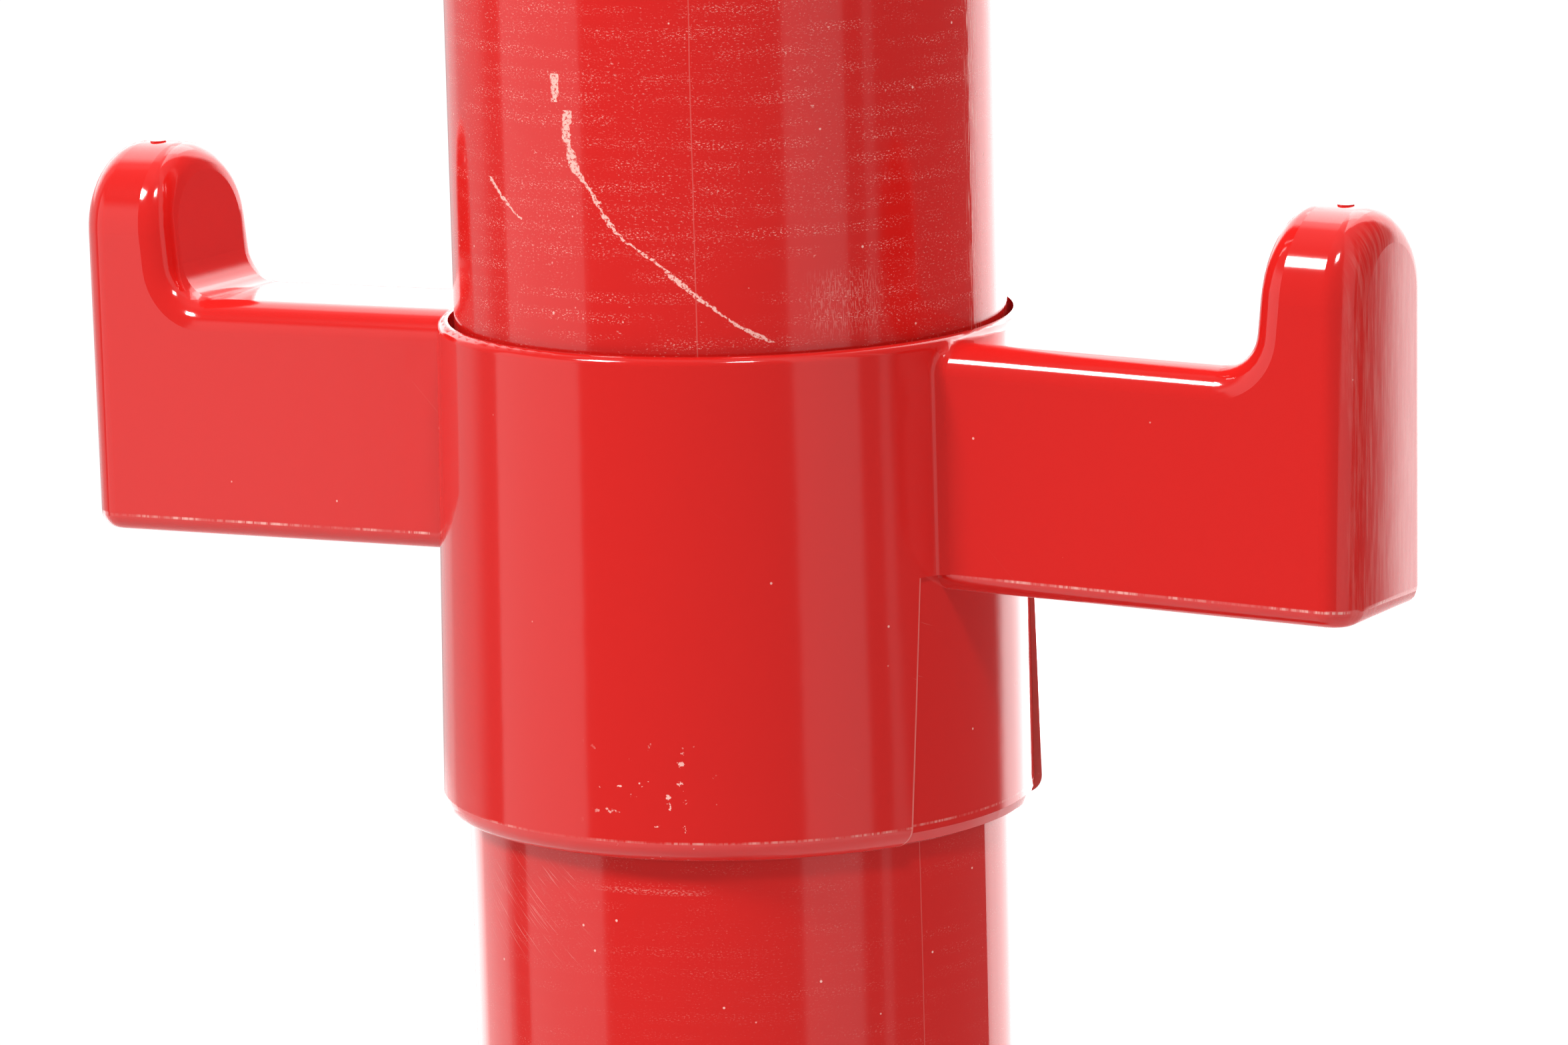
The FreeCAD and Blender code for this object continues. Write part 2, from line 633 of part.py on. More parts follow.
def arm_section(sketch):
    """Draw the tombstone outline that an arm and its finger have, seen along the arm."""
    radius = value(ARCH_RADIUS)
    middle = value(ARCH_CENTRE)
    lean = math.radians(value("arm_draft"))
    foot = -value("arm_foot")
    half = value("arm_half")
    spring_out = radius * math.cos(lean)
    spring_up = middle + radius * math.sin(lean)
    spots = [FreeCAD.Vector(-spring_out, spring_up, 0), FreeCAD.Vector(-half, foot, 0),
             FreeCAD.Vector(half, foot, 0), FreeCAD.Vector(spring_out, spring_up, 0)]
    for start, end in zip(spots, spots[1:]):
        sketch.addGeometry(Part.LineSegment(start, end), False)
    circle_line = Part.Circle(FreeCAD.Vector(0, middle, 0), FreeCAD.Vector(0, 0, 1), radius)
    sketch.addGeometry(Part.ArcOfCircle(circle_line, lean, math.pi - lean), False)
    for first, following in ((0, 1), (1, 2)):
        sketch.addConstraint(Sketcher.Constraint("Coincident", first, 2, following, 1))
    sketch.addConstraint(Sketcher.Constraint("Tangent", 2, 2, 3, 1))
    sketch.addConstraint(Sketcher.Constraint("Tangent", 3, 2, 0, 1))
    pin(sketch, 1, 1, "DistanceX", "0 - arm_half")
    pin(sketch, 1, 1, "DistanceY", "0 - arm_foot")
    pin(sketch, 1, 2, "DistanceX", "arm_half")
    pin(sketch, 1, 2, "DistanceY", "0 - arm_foot")
    pin(sketch, 3, 3, "DistanceX", "0")
    pin(sketch, 3, 3, "DistanceY", ARCH_CENTRE)
    size = sketch.addConstraint(Sketcher.Constraint("Radius", 3, radius))
    sketch.setExpression("Constraints[%d]" % size, cell(ARCH_RADIUS))


def arm_blank(label):
    """An arm with its finger in its own frame: +X outwards, its top at height zero."""
    body = new_body(label)
    section = new_sketch(body, label + "_section", "YZ_Plane")
    section.setExpression(".AttachmentOffset.Base.z", cell("arm_root"))
    doc.recompute()
    arm_section(section)
    slab = body.newObject("PartDesign::Pad", label + "_slab")
    slab.Profile = section
    slab.setExpression("Length", cell("arm_reach - arm_root"))
    doc.recompute()
    side = new_sketch(body, label + "_side", "XZ_Plane")
    start = "arm_root - cut_past"
    above = "finger_top + cut_past"
    outline(side, [
        (start, "0"), ("finger_foot", "0"), ("finger_tip", "finger_top"), ("finger_tip", above),
        (start, above)])
    saddle = body.newObject("PartDesign::Pocket", label + "_saddle")
    saddle.Profile = side
    saddle.Type = "Length"
    saddle.Midplane = True
    saddle.setExpression("Length", cell("2 * ( arm_half + cut_past )"))
    doc.recompute()
    round_arm(body, saddle, label)
    gate(body, label)
    core(body, label)
    return body


def ends_and_middle(edge):
    middle = (edge.FirstParameter + edge.LastParameter) / 2
    return [edge.valueAt(at) for at in (edge.FirstParameter, middle, edge.LastParameter)]


def round_arm(body, base, label):
    """Soften an arm: its inner corner, then its outer, inner and lower edges."""
    reach = value("arm_reach")
    root = value("arm_root")
    foot = -value("arm_foot")
    finger = value("finger_foot")
    flat_top = reach - value("edge_outer")
    touching = 0.1
    clear = 1.0

    def all_of(test):
        return lambda edge: all(test(spot) for spot in ends_and_middle(edge))

    def inner_rim(edge):
        spots = ends_and_middle(edge)
        level = all(abs(spot.z) < touching for spot in spots)
        across = level and abs(spots[0].y - spots[2].y) > clear
        placed = all(spot.z > -touching and spot.x < flat_top - clear for spot in spots)
        at_root = all(spot.x < root + clear for spot in spots)
        return placed and not across and not at_root

    def lower_rim(edge):
        spots = ends_and_middle(edge)
        low = all(abs(spot.z - foot) < touching for spot in spots)
        return low and not all(spot.x < root + clear for spot in spots)

    corner = rounded(body, base, label + "_inner_corner", "corner_inner",
                     all_of(lambda spot: abs(spot.x - finger) < touching
                            and abs(spot.z) < touching))
    outer = rounded(body, corner, label + "_outer_edges", "edge_outer",
                    lambda edge: all_of(lambda spot: abs(spot.x - reach) < touching)(edge)
                    and not lower_rim(edge))
    inner = rounded(body, outer, label + "_inner_edges", "edge_inner", inner_rim)
    rounded(body, inner, label + "_lower_edges", "edge_foot", lower_rim)


def gate(body, label):
    """The clipped sprue mark on a finger's tip."""
    sketch = new_sketch(body, label + "_gate_profile", "XZ_Plane")
    outline(sketch, [
        ("gate_reach", "finger_top - gate_sunk"), ("gate_reach", "finger_top + gate_proud"),
        ("gate_reach + gate_radius", "finger_top + gate_proud"),
        ("gate_reach + gate_radius", "finger_top - gate_sunk")])
    mark = body.newObject("PartDesign::Revolution", label + "_gate")
    mark.Profile = sketch
    mark.ReferenceAxis = (sketch, ["Edge1"])
    mark.Angle = 360
    doc.recompute()


def up_from_underside(body, label, name, depth, boxes):
    """Cut rectangles, each as start, end and half width, upwards from an arm's underside."""
    sketch = new_sketch(body, label + name + "_plan", "XY_Plane")
    sketch.setExpression(".AttachmentOffset.Base.z", cell("0 - arm_foot"))
    doc.recompute()
    for start, end, half in boxes:
        outline(sketch, [(start, "0 - " + half), (end, "0 - " + half), (end, half), (start, half)])
    cut = body.newObject("PartDesign::Pocket", label + name)
    cut.Profile = sketch
    cut.Type = "Length"
    cut.Reversed = True
    cut.setExpression("Length", cell(depth))
    doc.recompute()


def core(body, label):
    """Hollow an arm from below in three cells with two ribs, and sink a seat for its cover."""
    up_from_underside(body, label, "_cells", "arm_foot - core_roof", [
        ("core_start", "rib_first - rib_half", "core_half"),
        ("rib_first + rib_half", "rib_second - rib_half", "core_half"),
        ("rib_second + rib_half", "core_end", "core_half")])
    up_from_underside(body, label, "_finger_core", "arm_foot + finger_core_top",
                      [("finger_core_start", "core_end", "finger_core_half")])
    up_from_underside(body, label, "_seat", "cover_thick",
                      [("cover_start", "cover_end", "cover_half")])
    sketch = new_sketch(body, label + "_pilot_plan", "XY_Plane")
    sketch.setExpression(".AttachmentOffset.Base.z", cell("0 - arm_foot"))
    doc.recompute()
    for rib in ("rib_first", "rib_second"):
        circle(sketch, rib, "0", "cover_screw_shank + shank_gap")
    pilots = body.newObject("PartDesign::Pocket", label + "_pilots")
    pilots.Profile = sketch
    pilots.Type = "Length"
    pilots.Reversed = True
    pilots.setExpression("Length", cell("cover_screw_long + pilot_spare"))
    doc.recompute()


def on_arm(body, side):
    """Put a body made in an arm's own frame on the right (+1) or the left (-1) of the collar."""
    place = FreeCAD.Placement(
        FreeCAD.Vector(0, 0, value("collar_top")),
        FreeCAD.Rotation(FreeCAD.Vector(0, 0, 1), 0 if side > 0 else 180)
        .multiply(FreeCAD.Rotation(FreeCAD.Vector(0, 1, 0), value("arm_droop"))))
    body.Placement = place
    body.setExpression(".Placement.Base.z", cell("collar_top"))
    doc.recompute()


def hook_collar():
    """One moulding: a drafted ring with a ledge inside, and two hook arms."""
    cutter = strip_cutter()
    arms = [arm_blank("right_arm"), arm_blank("left_arm")]
    on_arm(arms[0], 1)
    on_arm(arms[1], -1)
    body = new_body("hook_collar")
    foot = "collar_top - collar_height"
    cone = turned(body, "collar_cone", [
        ("0", foot), ("collar_belly", foot), ("collar_rim_outer", "collar_top"),
        ("0", "collar_top")])
    lip = rounded(body, cone, "collar_lip", "lip_round", circle_at("collar_belly", foot))
    rim = rounded(body, lip, "collar_rim", "rim_edge", circle_at("collar_rim_outer", "collar_top"))
    body.Tip = rim
    boolean(body, "collar_strips", "Cut", [cutter])
    joined = boolean(body, "collar_arms", "Fuse", arms)

    half = value("arm_half")
    belly = value("collar_belly")
    drafted_in = 1.8

    def at_root(edge):
        spots = ends_and_middle(edge)
        upright = abs(spots[0].z - spots[2].z) > half
        beside = all(abs(abs(spot.y) - half) < drafted_in for spot in spots)
        return upright and beside and all(abs(spot.x) < belly for spot in spots)

    rounded(body, joined, "collar_roots", "root_fillet", at_root)
    hollow = turned(body, "collar_hollow", [
        ("0", foot + " - cut_past"), ("skirt_inner + mouth_ease", foot + " - cut_past"),
        ("skirt_inner + mouth_ease", foot + " + mouth_land"),
        ("skirt_inner", foot + " + mouth_high"),
        ("skirt_inner", "collar_top - ledge_top - ledge_thick"),
        ("ledge_inner", "collar_top - ledge_top - ledge_thick"),
        ("ledge_inner", "collar_top - ledge_top"), ("rim_inner", "collar_top - ledge_top"),
        ("rim_inner", "collar_top + cut_past"), ("0", "collar_top + cut_past")], cut=True)
    body.Tip = hollow


def boolean(body, name, kind, tools):
    feature = body.newObject("PartDesign::Boolean", name)
    feature.Type = kind
    feature.setObjects(tools)
    doc.recompute()
    return feature


def arm_cover(label, side):
    """Flat lid that closes the cored underside of an arm."""
    body = new_body(label)
    sketch = new_sketch(body, label + "_plan", "XY_Plane")
    sketch.setExpression(".AttachmentOffset.Base.z", cell("0 - arm_foot"))
    doc.recompute()
    start = "cover_start + cover_gap"
    end = "cover_end - cover_gap"
    half = "( cover_half - cover_gap )"
    outline(sketch, [(start, "0 - " + half), (end, "0 - " + half), (end, half), (start, half)])
    lid = body.newObject("PartDesign::Pad", label + "_lid")
    lid.Profile = sketch
    lid.setExpression("Length", cell("cover_thick"))
    doc.recompute()
    for name, rib in (("inner", "rib_first"), ("outer", "rib_second")):
        hole_sketch = new_sketch(body, label + "_" + name + "_hole_profile", "XZ_Plane")
        wide = rib + " + cover_screw_head + shank_gap"
        narrow = rib + " + cover_screw_shank + shank_gap"
        below = "0 - arm_foot - cut_past"
        face = "0 - arm_foot + cover_screw_sink"
        above = "0 - arm_foot + cover_thick + cut_past"
        outline(hole_sketch, [
            (rib, below), (rib, above), (narrow, above),
            (narrow, face + " + cover_screw_head - cover_screw_shank"), (wide, face),
            (wide, below)])
        hole = body.newObject("PartDesign::Groove", label + "_" + name + "_hole")
        hole.Profile = hole_sketch
        hole.ReferenceAxis = (hole_sketch, ["Edge1"])
        hole.Angle = 360
        doc.recompute()
    on_arm(body, side)


def cover_screws():
    """Two countersunk screws in each arm cover: one pair, and the same pair half a turn round."""
    pair = new_body("cover_screw_pair")
    pair.AllowCompound = True
    for name, rib in (("inner", "rib_first"), ("outer", "rib_second")):
        sketch = new_sketch(pair, "cover_screw_" + name + "_profile", "XZ_Plane")
        head = rib + " + cover_screw_head"
        shank = rib + " + cover_screw_shank"
        low = "0 - arm_foot + cover_screw_sink"
        outline(sketch, [
            (rib, low + " + cover_drive_deep"), (rib, low + " + cover_screw_long"),
            (shank, low + " + cover_screw_long"),
            (shank, low + " + cover_screw_head - cover_screw_shank"), (head, low),
            (rib + " + cover_drive_half", low)])
        screw = pair.newObject("PartDesign::Revolution", "cover_screw_" + name)
        screw.Profile = sketch
        screw.ReferenceAxis = (sketch, ["Edge1"])
        screw.Angle = 360
        doc.recompute()
    on_arm(pair, 1)
    other = doc.addObject("Part::Feature", "cover_screw_other_pair")
    other.Shape = pair.Shape.copy()
    other.Placement = FreeCAD.Placement(
        FreeCAD.Vector(0, 0, 0), FreeCAD.Rotation(FreeCAD.Vector(0, 0, 1), 180)).multiply(
            pair.Placement)
    both = doc.addObject("Part::Compound", "cover_screws")
    both.Label = "cover_screws"
    both.Links = [pair, other]
    doc.recompute()


def collar_carriers():
    """What holds the collar on the hammer tube: bush, two thrust washers and a snap ring."""
    ledge_foot = "collar_top - ledge_top - ledge_thick"
    ring("collar_bush", "hammer_outer + collar_bush_gap", "ledge_inner", ledge_foot,
         "collar_top - ledge_top")
    ring("thrust_washer_upper", "hammer_outer", "thrust_outer",
         "collar_top - ledge_top + thrust_gap", UPPER_SLEEVE_FOOT)
    ring("thrust_washer_lower", "hammer_outer", "thrust_outer",
         ledge_foot + " - thrust_gap - thrust_thick", ledge_foot + " - thrust_gap")
    snap_ring("collar_snap_ring", "hammer_outer - ring_groove + ring_gap", "snap_ring_outer",
              SNAP_RING_TOP + " - snap_ring_thick", "snap_ring_thick")


NODES = [
    "guide_tube", "foot_ring", "anvil_plate", "post_pad", "pad_screw", "guide_bush", "stop_ring",
    "lower_sleeve", "wiper_ring", "foot_screws",
    "hammer_tube", "lower_bush", "bush_screws", "strike_plate", "striker_weight",
    "weight_screws", "upper_sleeve", "packing_ring_lower", "packing_ring_upper", "head_cap",
    "cap_washers", "cap_screws", "thrust_washer_upper", "thrust_washer_lower",
    "collar_snap_ring",
    "hook_collar", "collar_bush", "arm_cover_right", "arm_cover_left", "cover_screws",
]


def build():
    guide_tube()
    foot_ring()
    anvil_plate()
    post_pad()
    pad_screw()
    guide_bush()
    snap_ring("stop_ring", "guide_outer - ring_groove + ring_gap", "stop_ring_outer",
              STOP_RING_FOOT, "stop_ring_thick")
    lower_sleeve()
    wiper_ring()
    radial_screws("foot_screws", "foot_screw_shank", "foot_screw_head", "foot_screw_head_thick",
                  "foot_screw_long", "foot_screw_height", "sleeve_outer", "foot_screw_count",
                  False)
    hammer_tube()
    lower_bush()
    radial_screws("bush_screws", "bush_screw_shank", "bush_screw_head", "0", "bush_screw_long",
                  "bush_screw_height", "hammer_outer", "bush_screw_count", True)
    strike_plate()
    striker_weight()
    radial_screws("weight_screws", "weight_screw_shank", "weight_screw_head", "0",
                  "weight_screw_long", "weight_screw_height", "hammer_outer",
                  "weight_screw_count", True)
    upper_sleeve()
    packing_rings()
    head_cap()
    cap_washers()
    cap_screws()
    collar_carriers()
    hook_collar()
    arm_cover("arm_cover_right", 1)
    arm_cover("arm_cover_left", -1)
    cover_screws()


def check_and_write():
    """Stop if anything failed, then write each node's STEP file."""
    doc.recompute()
    for thing in doc.Objects:
        if "Invalid" in thing.State or "Error" in thing.State:
            raise RuntimeError("%s failed: %s" % (thing.Name, thing.State))
    for node in NODES:
        shape = doc.getObject(node).Shape
        if shape.isNull() or not shape.isValid():
            raise RuntimeError(node + " has no valid shape")
        shape.exportStep("parts/" + node + ".step")
        box = shape.BoundBox
        print("%-20s %2d solids %10.0f mm3  x %.1f..%.1f  y %.1f..%.1f  z %.1f..%.1f" % (
            node, len(shape.Solids), shape.Volume, box.XMin, box.XMax, box.YMin, box.YMax,
            box.ZMin, box.ZMax))


build()
check_and_write()
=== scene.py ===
# %% [markdown]
# # A post driver in red plastic and steel
#
# A drop hammer for fence posts.  A steel guide tube stands over the post, a heavy hammer tube
# slides on it, and both wear a length of red plastic pipe.  A moulded collar with two hooked
# arms turns on the hammer, and is what the hands lift.  The engineering model gives every
# piece its shape and place, so this lesson is about finishes: how worn glossy plastic, turned
# steel and rubber are made from nodes, and how a studio is built that lets gloss show.

import json
import math

import bpy
import numpy as np
from mathutils import Matrix, Vector


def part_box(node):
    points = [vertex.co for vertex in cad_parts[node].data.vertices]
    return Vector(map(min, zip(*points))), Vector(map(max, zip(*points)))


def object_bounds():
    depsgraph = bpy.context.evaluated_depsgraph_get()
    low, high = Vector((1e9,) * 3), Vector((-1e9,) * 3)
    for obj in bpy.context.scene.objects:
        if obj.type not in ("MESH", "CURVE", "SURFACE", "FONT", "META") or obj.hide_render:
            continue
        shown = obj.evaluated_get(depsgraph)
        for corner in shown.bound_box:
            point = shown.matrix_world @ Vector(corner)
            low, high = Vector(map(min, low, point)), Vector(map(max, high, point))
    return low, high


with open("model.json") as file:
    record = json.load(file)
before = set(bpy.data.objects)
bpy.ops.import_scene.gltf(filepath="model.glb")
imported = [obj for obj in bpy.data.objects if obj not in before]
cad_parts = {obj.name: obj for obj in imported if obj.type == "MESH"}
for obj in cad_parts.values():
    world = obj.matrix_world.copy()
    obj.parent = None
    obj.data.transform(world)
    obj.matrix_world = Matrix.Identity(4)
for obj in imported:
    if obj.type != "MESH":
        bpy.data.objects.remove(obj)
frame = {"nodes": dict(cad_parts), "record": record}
cad_low, cad_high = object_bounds()
scene = bpy.context.scene
MM = 0.001
COLLAR_TALL = 99.2
collar_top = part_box("hook_collar")[0].z / MM + COLLAR_TALL
print("pieces:", len(frame["nodes"]), "height in mm:", round((cad_high.z - cad_low.z) / MM, 1))

# %% [markdown]
# ## Colours and nodes
#
# Paint and plastic colours are usually given as sRGB hex values, but the renderer adds light
# in linear values, so one function converts them.  A node tree is mostly the same three steps
# over and over: make a node, set its inputs, link what feeds it.  One function does all three,
# and takes numbers, colours and other nodes' sockets alike.  A kind of node that works in
# several ways, such as the maths node, is asked for with its way after a colon.


# %% Hex colours and one function that adds a node
def linear(hex_colour):
    """sRGB to linear: x / 12.92 below 0.04045, else ((x + 0.055) / 1.055) to the power 2.4."""
    parts = np.array([int(hex_colour[i:i + 2], 16) for i in (0, 2, 4)]) / 255
    low = parts / 12.92
    high = ((parts + 0.055) / 1.055) ** 2.4
    return (*np.where(parts < 0.04045, low, high), 1.0)


WAYS = {"Math": "operation", "VectorMath": "operation", "MapRange": "interpolation_type",
        "Mix": "data_type"}
SMOOTH = "MapRange:SMOOTHSTEP"


def add(tree, kind, *feeds, out=0, inputs=None):
    """Add a node, feed its inputs in order and then by name, and return one output."""
    kind, _, way = kind.partition(":")
    node = tree.nodes.new("ShaderNode" + kind)
    if way:
        setattr(node, WAYS[kind], way)
    for key, feed in list(enumerate(feeds)) + list((inputs or {}).items()):
        if isinstance(feed, bpy.types.NodeSocket):
            tree.links.new(feed, node.inputs[key])
        elif feed is not None:
            node.inputs[key].default_value = feed
    return node.outputs[out]


print("signal red in linear light:", [round(part, 3) for part in linear("E0271F")])

# %% [markdown]
# ## Where a mark sits on a tube
#
# Wear on a pipe runs round it or along it, so its marks are placed in pipe coordinates: the
# distance round the pipe and the height, both in millimetres.  They are worked out from the
# Object coordinates with an arc tangent, which needs no UV map and never stretches.  A mask is
# a value between nothing and one.  Multiplying masks keeps what all of them hold, and taking
# the largest keeps what any of them holds.


# %% Pipe coordinates and simple masks
def place_mm(tree):
    """Object coordinates in millimetres, as a vector and as its three parts."""
    grown = add(tree, "VectorMath:SCALE", add(tree, "TexCoord", out=3), inputs={"Scale": 1 / MM})
    return grown, add(tree, "SeparateXYZ", grown).node.outputs


def round_and_up(tree, radius_mm):
    """Distance round a pipe of that radius from +X, and height, both in millimetres."""
    _, (x, y, z) = place_mm(tree)
    turn = add(tree, "Math:ARCTAN2", y, x)
    return add(tree, "Math:MULTIPLY", turn, radius_mm), z


def noise(tree, across, up, stretch_across, stretch_up, detail=2.0, seed=0.0):
    """Noise whose grain is so many millimetres across and up."""
    spot = add(tree, "CombineXYZ", add(tree, "Math:DIVIDE", across, stretch_across),
               add(tree, "Math:DIVIDE", up, stretch_up), seed)
    return add(tree, "TexNoise", inputs={"Vector": spot, "Scale": 1.0, "Detail": detail,
                                         "Roughness": 0.6})


def near(tree, feed, centre, half, soft):
    """One where the feed is within half of the centre, and nothing beyond half plus soft."""
    away = add(tree, "Math:ABSOLUTE", add(tree, "Math:SUBTRACT", feed, centre))
    return add(tree, SMOOTH, away, half, half + soft, 1.0, 0.0)


def both(tree, *masks):
    """The product of masks."""
    result = masks[0]
    for mask in masks[1:]:
        result = add(tree, "Math:MULTIPLY", result, mask)
    return result


def either(tree, *masks):
    """The largest of masks."""
    result = masks[0]
    for mask in masks[1:]:
        result = add(tree, "Math:MAXIMUM", result, mask)
    return result


print("masks can be placed in millimetres")

# %% [markdown]
# ## Marks on the plastic
#
# Red pipe that slides through a ring wears in a few plain ways.  Grit leaves rows of fine pale
# dots round the pipe, and dust settles everywhere.  Dots could be painted on an image, but
# noise cut off above a level gives them at any size and needs no file.


# %% Masks for dust and scuffs
def dust(tree, where, cell_mm, share, size):
    """Round specks: the middle of a few cells of a grid of random points."""
    cells = add(tree, "TexVoronoi", inputs={"Vector": where, "Scale": 1 / cell_mm}).node
    speck = add(tree, SMOOTH, cells.outputs["Distance"], size * 0.5, size, 1.0, 0.0)
    pick = add(tree, "SeparateColor", cells.outputs["Color"])
    return both(tree, speck, add(tree, "Math:LESS_THAN", pick, share))


def scuff_rows(tree, across, up, pitch_mm, strength, seed):
    """Rows of pale dashes round the pipe, loose dots between them, and a few larger blots."""
    # a grit mark is about a tenth of a millimetre wide, too fine to show, so the grain of the
    # dots is drawn at a quarter to three quarters of a millimetre
    sway = noise(tree, across, up, 60.0, 40.0, seed=seed)
    level = add(tree, "Math:ADD", add(tree, "Math:DIVIDE", up, pitch_mm),
                add(tree, "Math:MULTIPLY", sway, 0.9))
    row = near(tree, add(tree, "Math:FRACT", level), 0.5, 0.12, 0.24)
    patch = add(tree, SMOOTH, noise(tree, across, up, 16.0, 8.0, seed=seed + 3), 0.40, 0.62)
    grain = add(tree, SMOOTH, noise(tree, across, up, 0.55, 0.28, 3.0, seed + 7), 0.56, 0.67)
    loose = add(tree, SMOOTH, noise(tree, across, up, 0.7, 0.35, 3.0, seed + 11), 0.585, 0.70)
    wide = add(tree, SMOOTH, noise(tree, across, up, 30.0, 18.0, seed=seed + 15), 0.36, 0.62)
    rows = both(tree, row, patch, grain)
    spread = add(tree, "Math:MULTIPLY", both(tree, loose, wide), 0.6)
    blots = add(tree, SMOOTH, noise(tree, across, up, 2.6, 1.8, 4.0, seed + 19), 0.69, 0.76)
    return add(tree, "Math:MULTIPLY", either(tree, rows, spread, blots), strength)


print("dust and scuffs are ready")

# %% [markdown]
# ## A long scratch
#
# Handling leaves long curved scratches, pale because the torn plastic scatters light.  Such a
# scratch is a line that gives the distance round the pipe for each height, held in a curve
# node.  The mask is one where a spot is closer to the line than half the scratch's width.
# Noise moves the line a little, swells and thins it, and breaks it into crumbs.


# %% Mask for a long scratch
def scratch_line(tree, up, spots):
    """The line's distance round the pipe for each height, and the share of its height."""
    lowest, tall = spots[0, 1], np.ptp(spots[:, 1])
    leftmost, wide = spots[:, 0].min(), np.ptp(spots[:, 0])
    share = add(tree, "Math:DIVIDE", add(tree, "Math:SUBTRACT", up, lowest), float(tall))
    node = add(tree, "FloatCurve", inputs={"Factor": 1.0, "Value": share}).node
    line = node.mapping.curves[0]
    while len(line.points) < len(spots):
        line.points.new(0.5, 0.5)
    for point, (across, height) in zip(line.points, spots):
        point.location = ((height - lowest) / tall, (across - leftmost) / wide)
    node.mapping.update()
    grown = add(tree, "Math:MULTIPLY", node.outputs[0], wide)
    return add(tree, "Math:ADD", grown, leftmost), share


def long_scratch(tree, across, up, points, width_mm):
    """A scratch through the points, each a distance round the pipe and a height in mm."""
    spots = np.array(sorted(points, key=lambda point: point[1]))
    path, share = scratch_line(tree, up, spots)
    shake = add(tree, "Math:SUBTRACT", noise(tree, across, up, 1.4, 1.4, 3.0), 0.5)
    ragged = add(tree, "Math:MULTIPLY", shake, 2.2)
    away = add(tree, "Math:ABSOLUTE",
               add(tree, "Math:ADD", add(tree, "Math:SUBTRACT", across, path), ragged))
    swell = noise(tree, across, up, 9.0, 6.0, seed=4.0)
    width = add(tree, "Math:MULTIPLY", add(tree, SMOOTH, swell, 0.3, 0.7, 0.25, 1.3), width_mm)
    inside = add(tree, SMOOTH, add(tree, "Math:DIVIDE", away, width), 0.7, 1.1, 1.0, 0.0)
    crumbs = add(tree, SMOOTH, noise(tree, across, up, 0.6, 0.6, 3.0, 9.0), 0.36, 0.52)
    ends = near(tree, share, 0.5, 0.495, 0.01)
    return both(tree, inside, crumbs, ends)


print("scratches are ready")

# %% [markdown]
# ## Red plastic
#
# The pipes are extruded and the collar is moulded, both in glossy red ABS.  Light enters such
# plastic a little before it comes back, which softens edges, so a small share of subsurface
# scattering goes under a smooth coat-like gloss with the usual plastic IOR of about 1.53.
# The surface is never flat: faint waves run along an extruded pipe, and a moulding has a
# slight orange peel, and both bend the reflections of the studio lights a little.

# %% Plastic, clean and worn
RED = "D21E1A"
PALE = "F6B9AE"
PLASTIC_IOR = 1.53
LIGHT_REACH_MM = 1.5


def plastic(name, colour, gloss=0.12):
    """A new material with a plastic shader, ready for masks."""
    material = bpy.data.materials.new(name)
    material.use_nodes = True
    tree = material.node_tree
    shader = tree.nodes["Principled BSDF"]
    shader.inputs["Base Color"].default_value = linear(colour)
    shader.inputs["Roughness"].default_value = gloss
    shader.inputs["IOR"].default_value = PLASTIC_IOR
    shader.inputs["Subsurface Weight"].default_value = 0.06
    shader.inputs["Subsurface Radius"].default_value = (1.0, 0.08, 0.05)
    shader.inputs["Subsurface Scale"].default_value = LIGHT_REACH_MM * MM
    return material, tree, shader


def worn(tree, shader, colour, pale, mask, gloss, rough, relief, bump_mm):
    """Mix the pale scuffed finish over the clean one, and raise the surface by the relief."""
    tint = add(tree, "Mix:RGBA", mask, out=2, inputs={6: linear(colour), 7: linear(pale)})
    tree.links.new(tint, shader.inputs["Base Color"])
    tree.links.new(add(tree, SMOOTH, mask, 0.0, 1.0, gloss, rough), shader.inputs["Roughness"])
    bump = add(tree, "Bump", inputs={"Height": relief, "Distance": bump_mm * MM,
                                     "Strength": 1.0})
    tree.links.new(bump, shader.inputs["Normal"])


print("plain red in linear light:", [round(part, 3) for part in linear(RED)])

# %% [markdown]
# ## The two lengths of pipe
#
# The upper pipe is pushed and set down most, so it has strong rows of scuffs, the long
# scratch, upright rubs on one side and a cross-hatched rub just above the collar.  The lower
# pipe is nearly clean, with a patch of slanting scratches.  The die that pipe is pressed
# through leaves faint straight lines along it, which sway a little here so that they don't
# look ruled.

# %% Extruded pipe
PIPE_RADIUS = 55.0
SCUFF_PITCH = 4.3


def pipe_red(name, scratches, die_lines, scuffs, extra):
    """Extruded red pipe with rows of scuffs, long scratches and die lines."""
    material, tree, shader = plastic(name, RED)
    across, up = round_and_up(tree, PIPE_RADIUS)
    where, _ = place_mm(tree)
    masks = [scuff_rows(tree, across, up, SCUFF_PITCH, scuffs, 2.0),
             dust(tree, where, 2.6, 0.05, 0.13)]
    for points, width in scratches:
        masks.append(long_scratch(tree, across, up, points, width))
    for line in die_lines:
        drift = add(tree, "Math:MULTIPLY", noise(tree, across, up, 8.0, 30.0, seed=6.0), 0.5)
        fine = near(tree, add(tree, "Math:ADD", across, drift), line, 0.05, 0.12)
        masks.append(add(tree, "Math:MULTIPLY", fine, 0.14))
    mask = add(tree, "Math:MINIMUM", either(tree, *masks, *extra(tree, across, up)), 1.0)
    waves = add(tree, "Math:MULTIPLY", noise(tree, across, up, 5.0, 900.0, 3.0, 1.0), 0.35)
    relief = add(tree, "Math:SUBTRACT", waves, add(tree, "Math:MULTIPLY", mask, 0.10))
    worn(tree, shader, RED, PALE, mask, 0.11, 0.55, relief, 0.05)
    return material


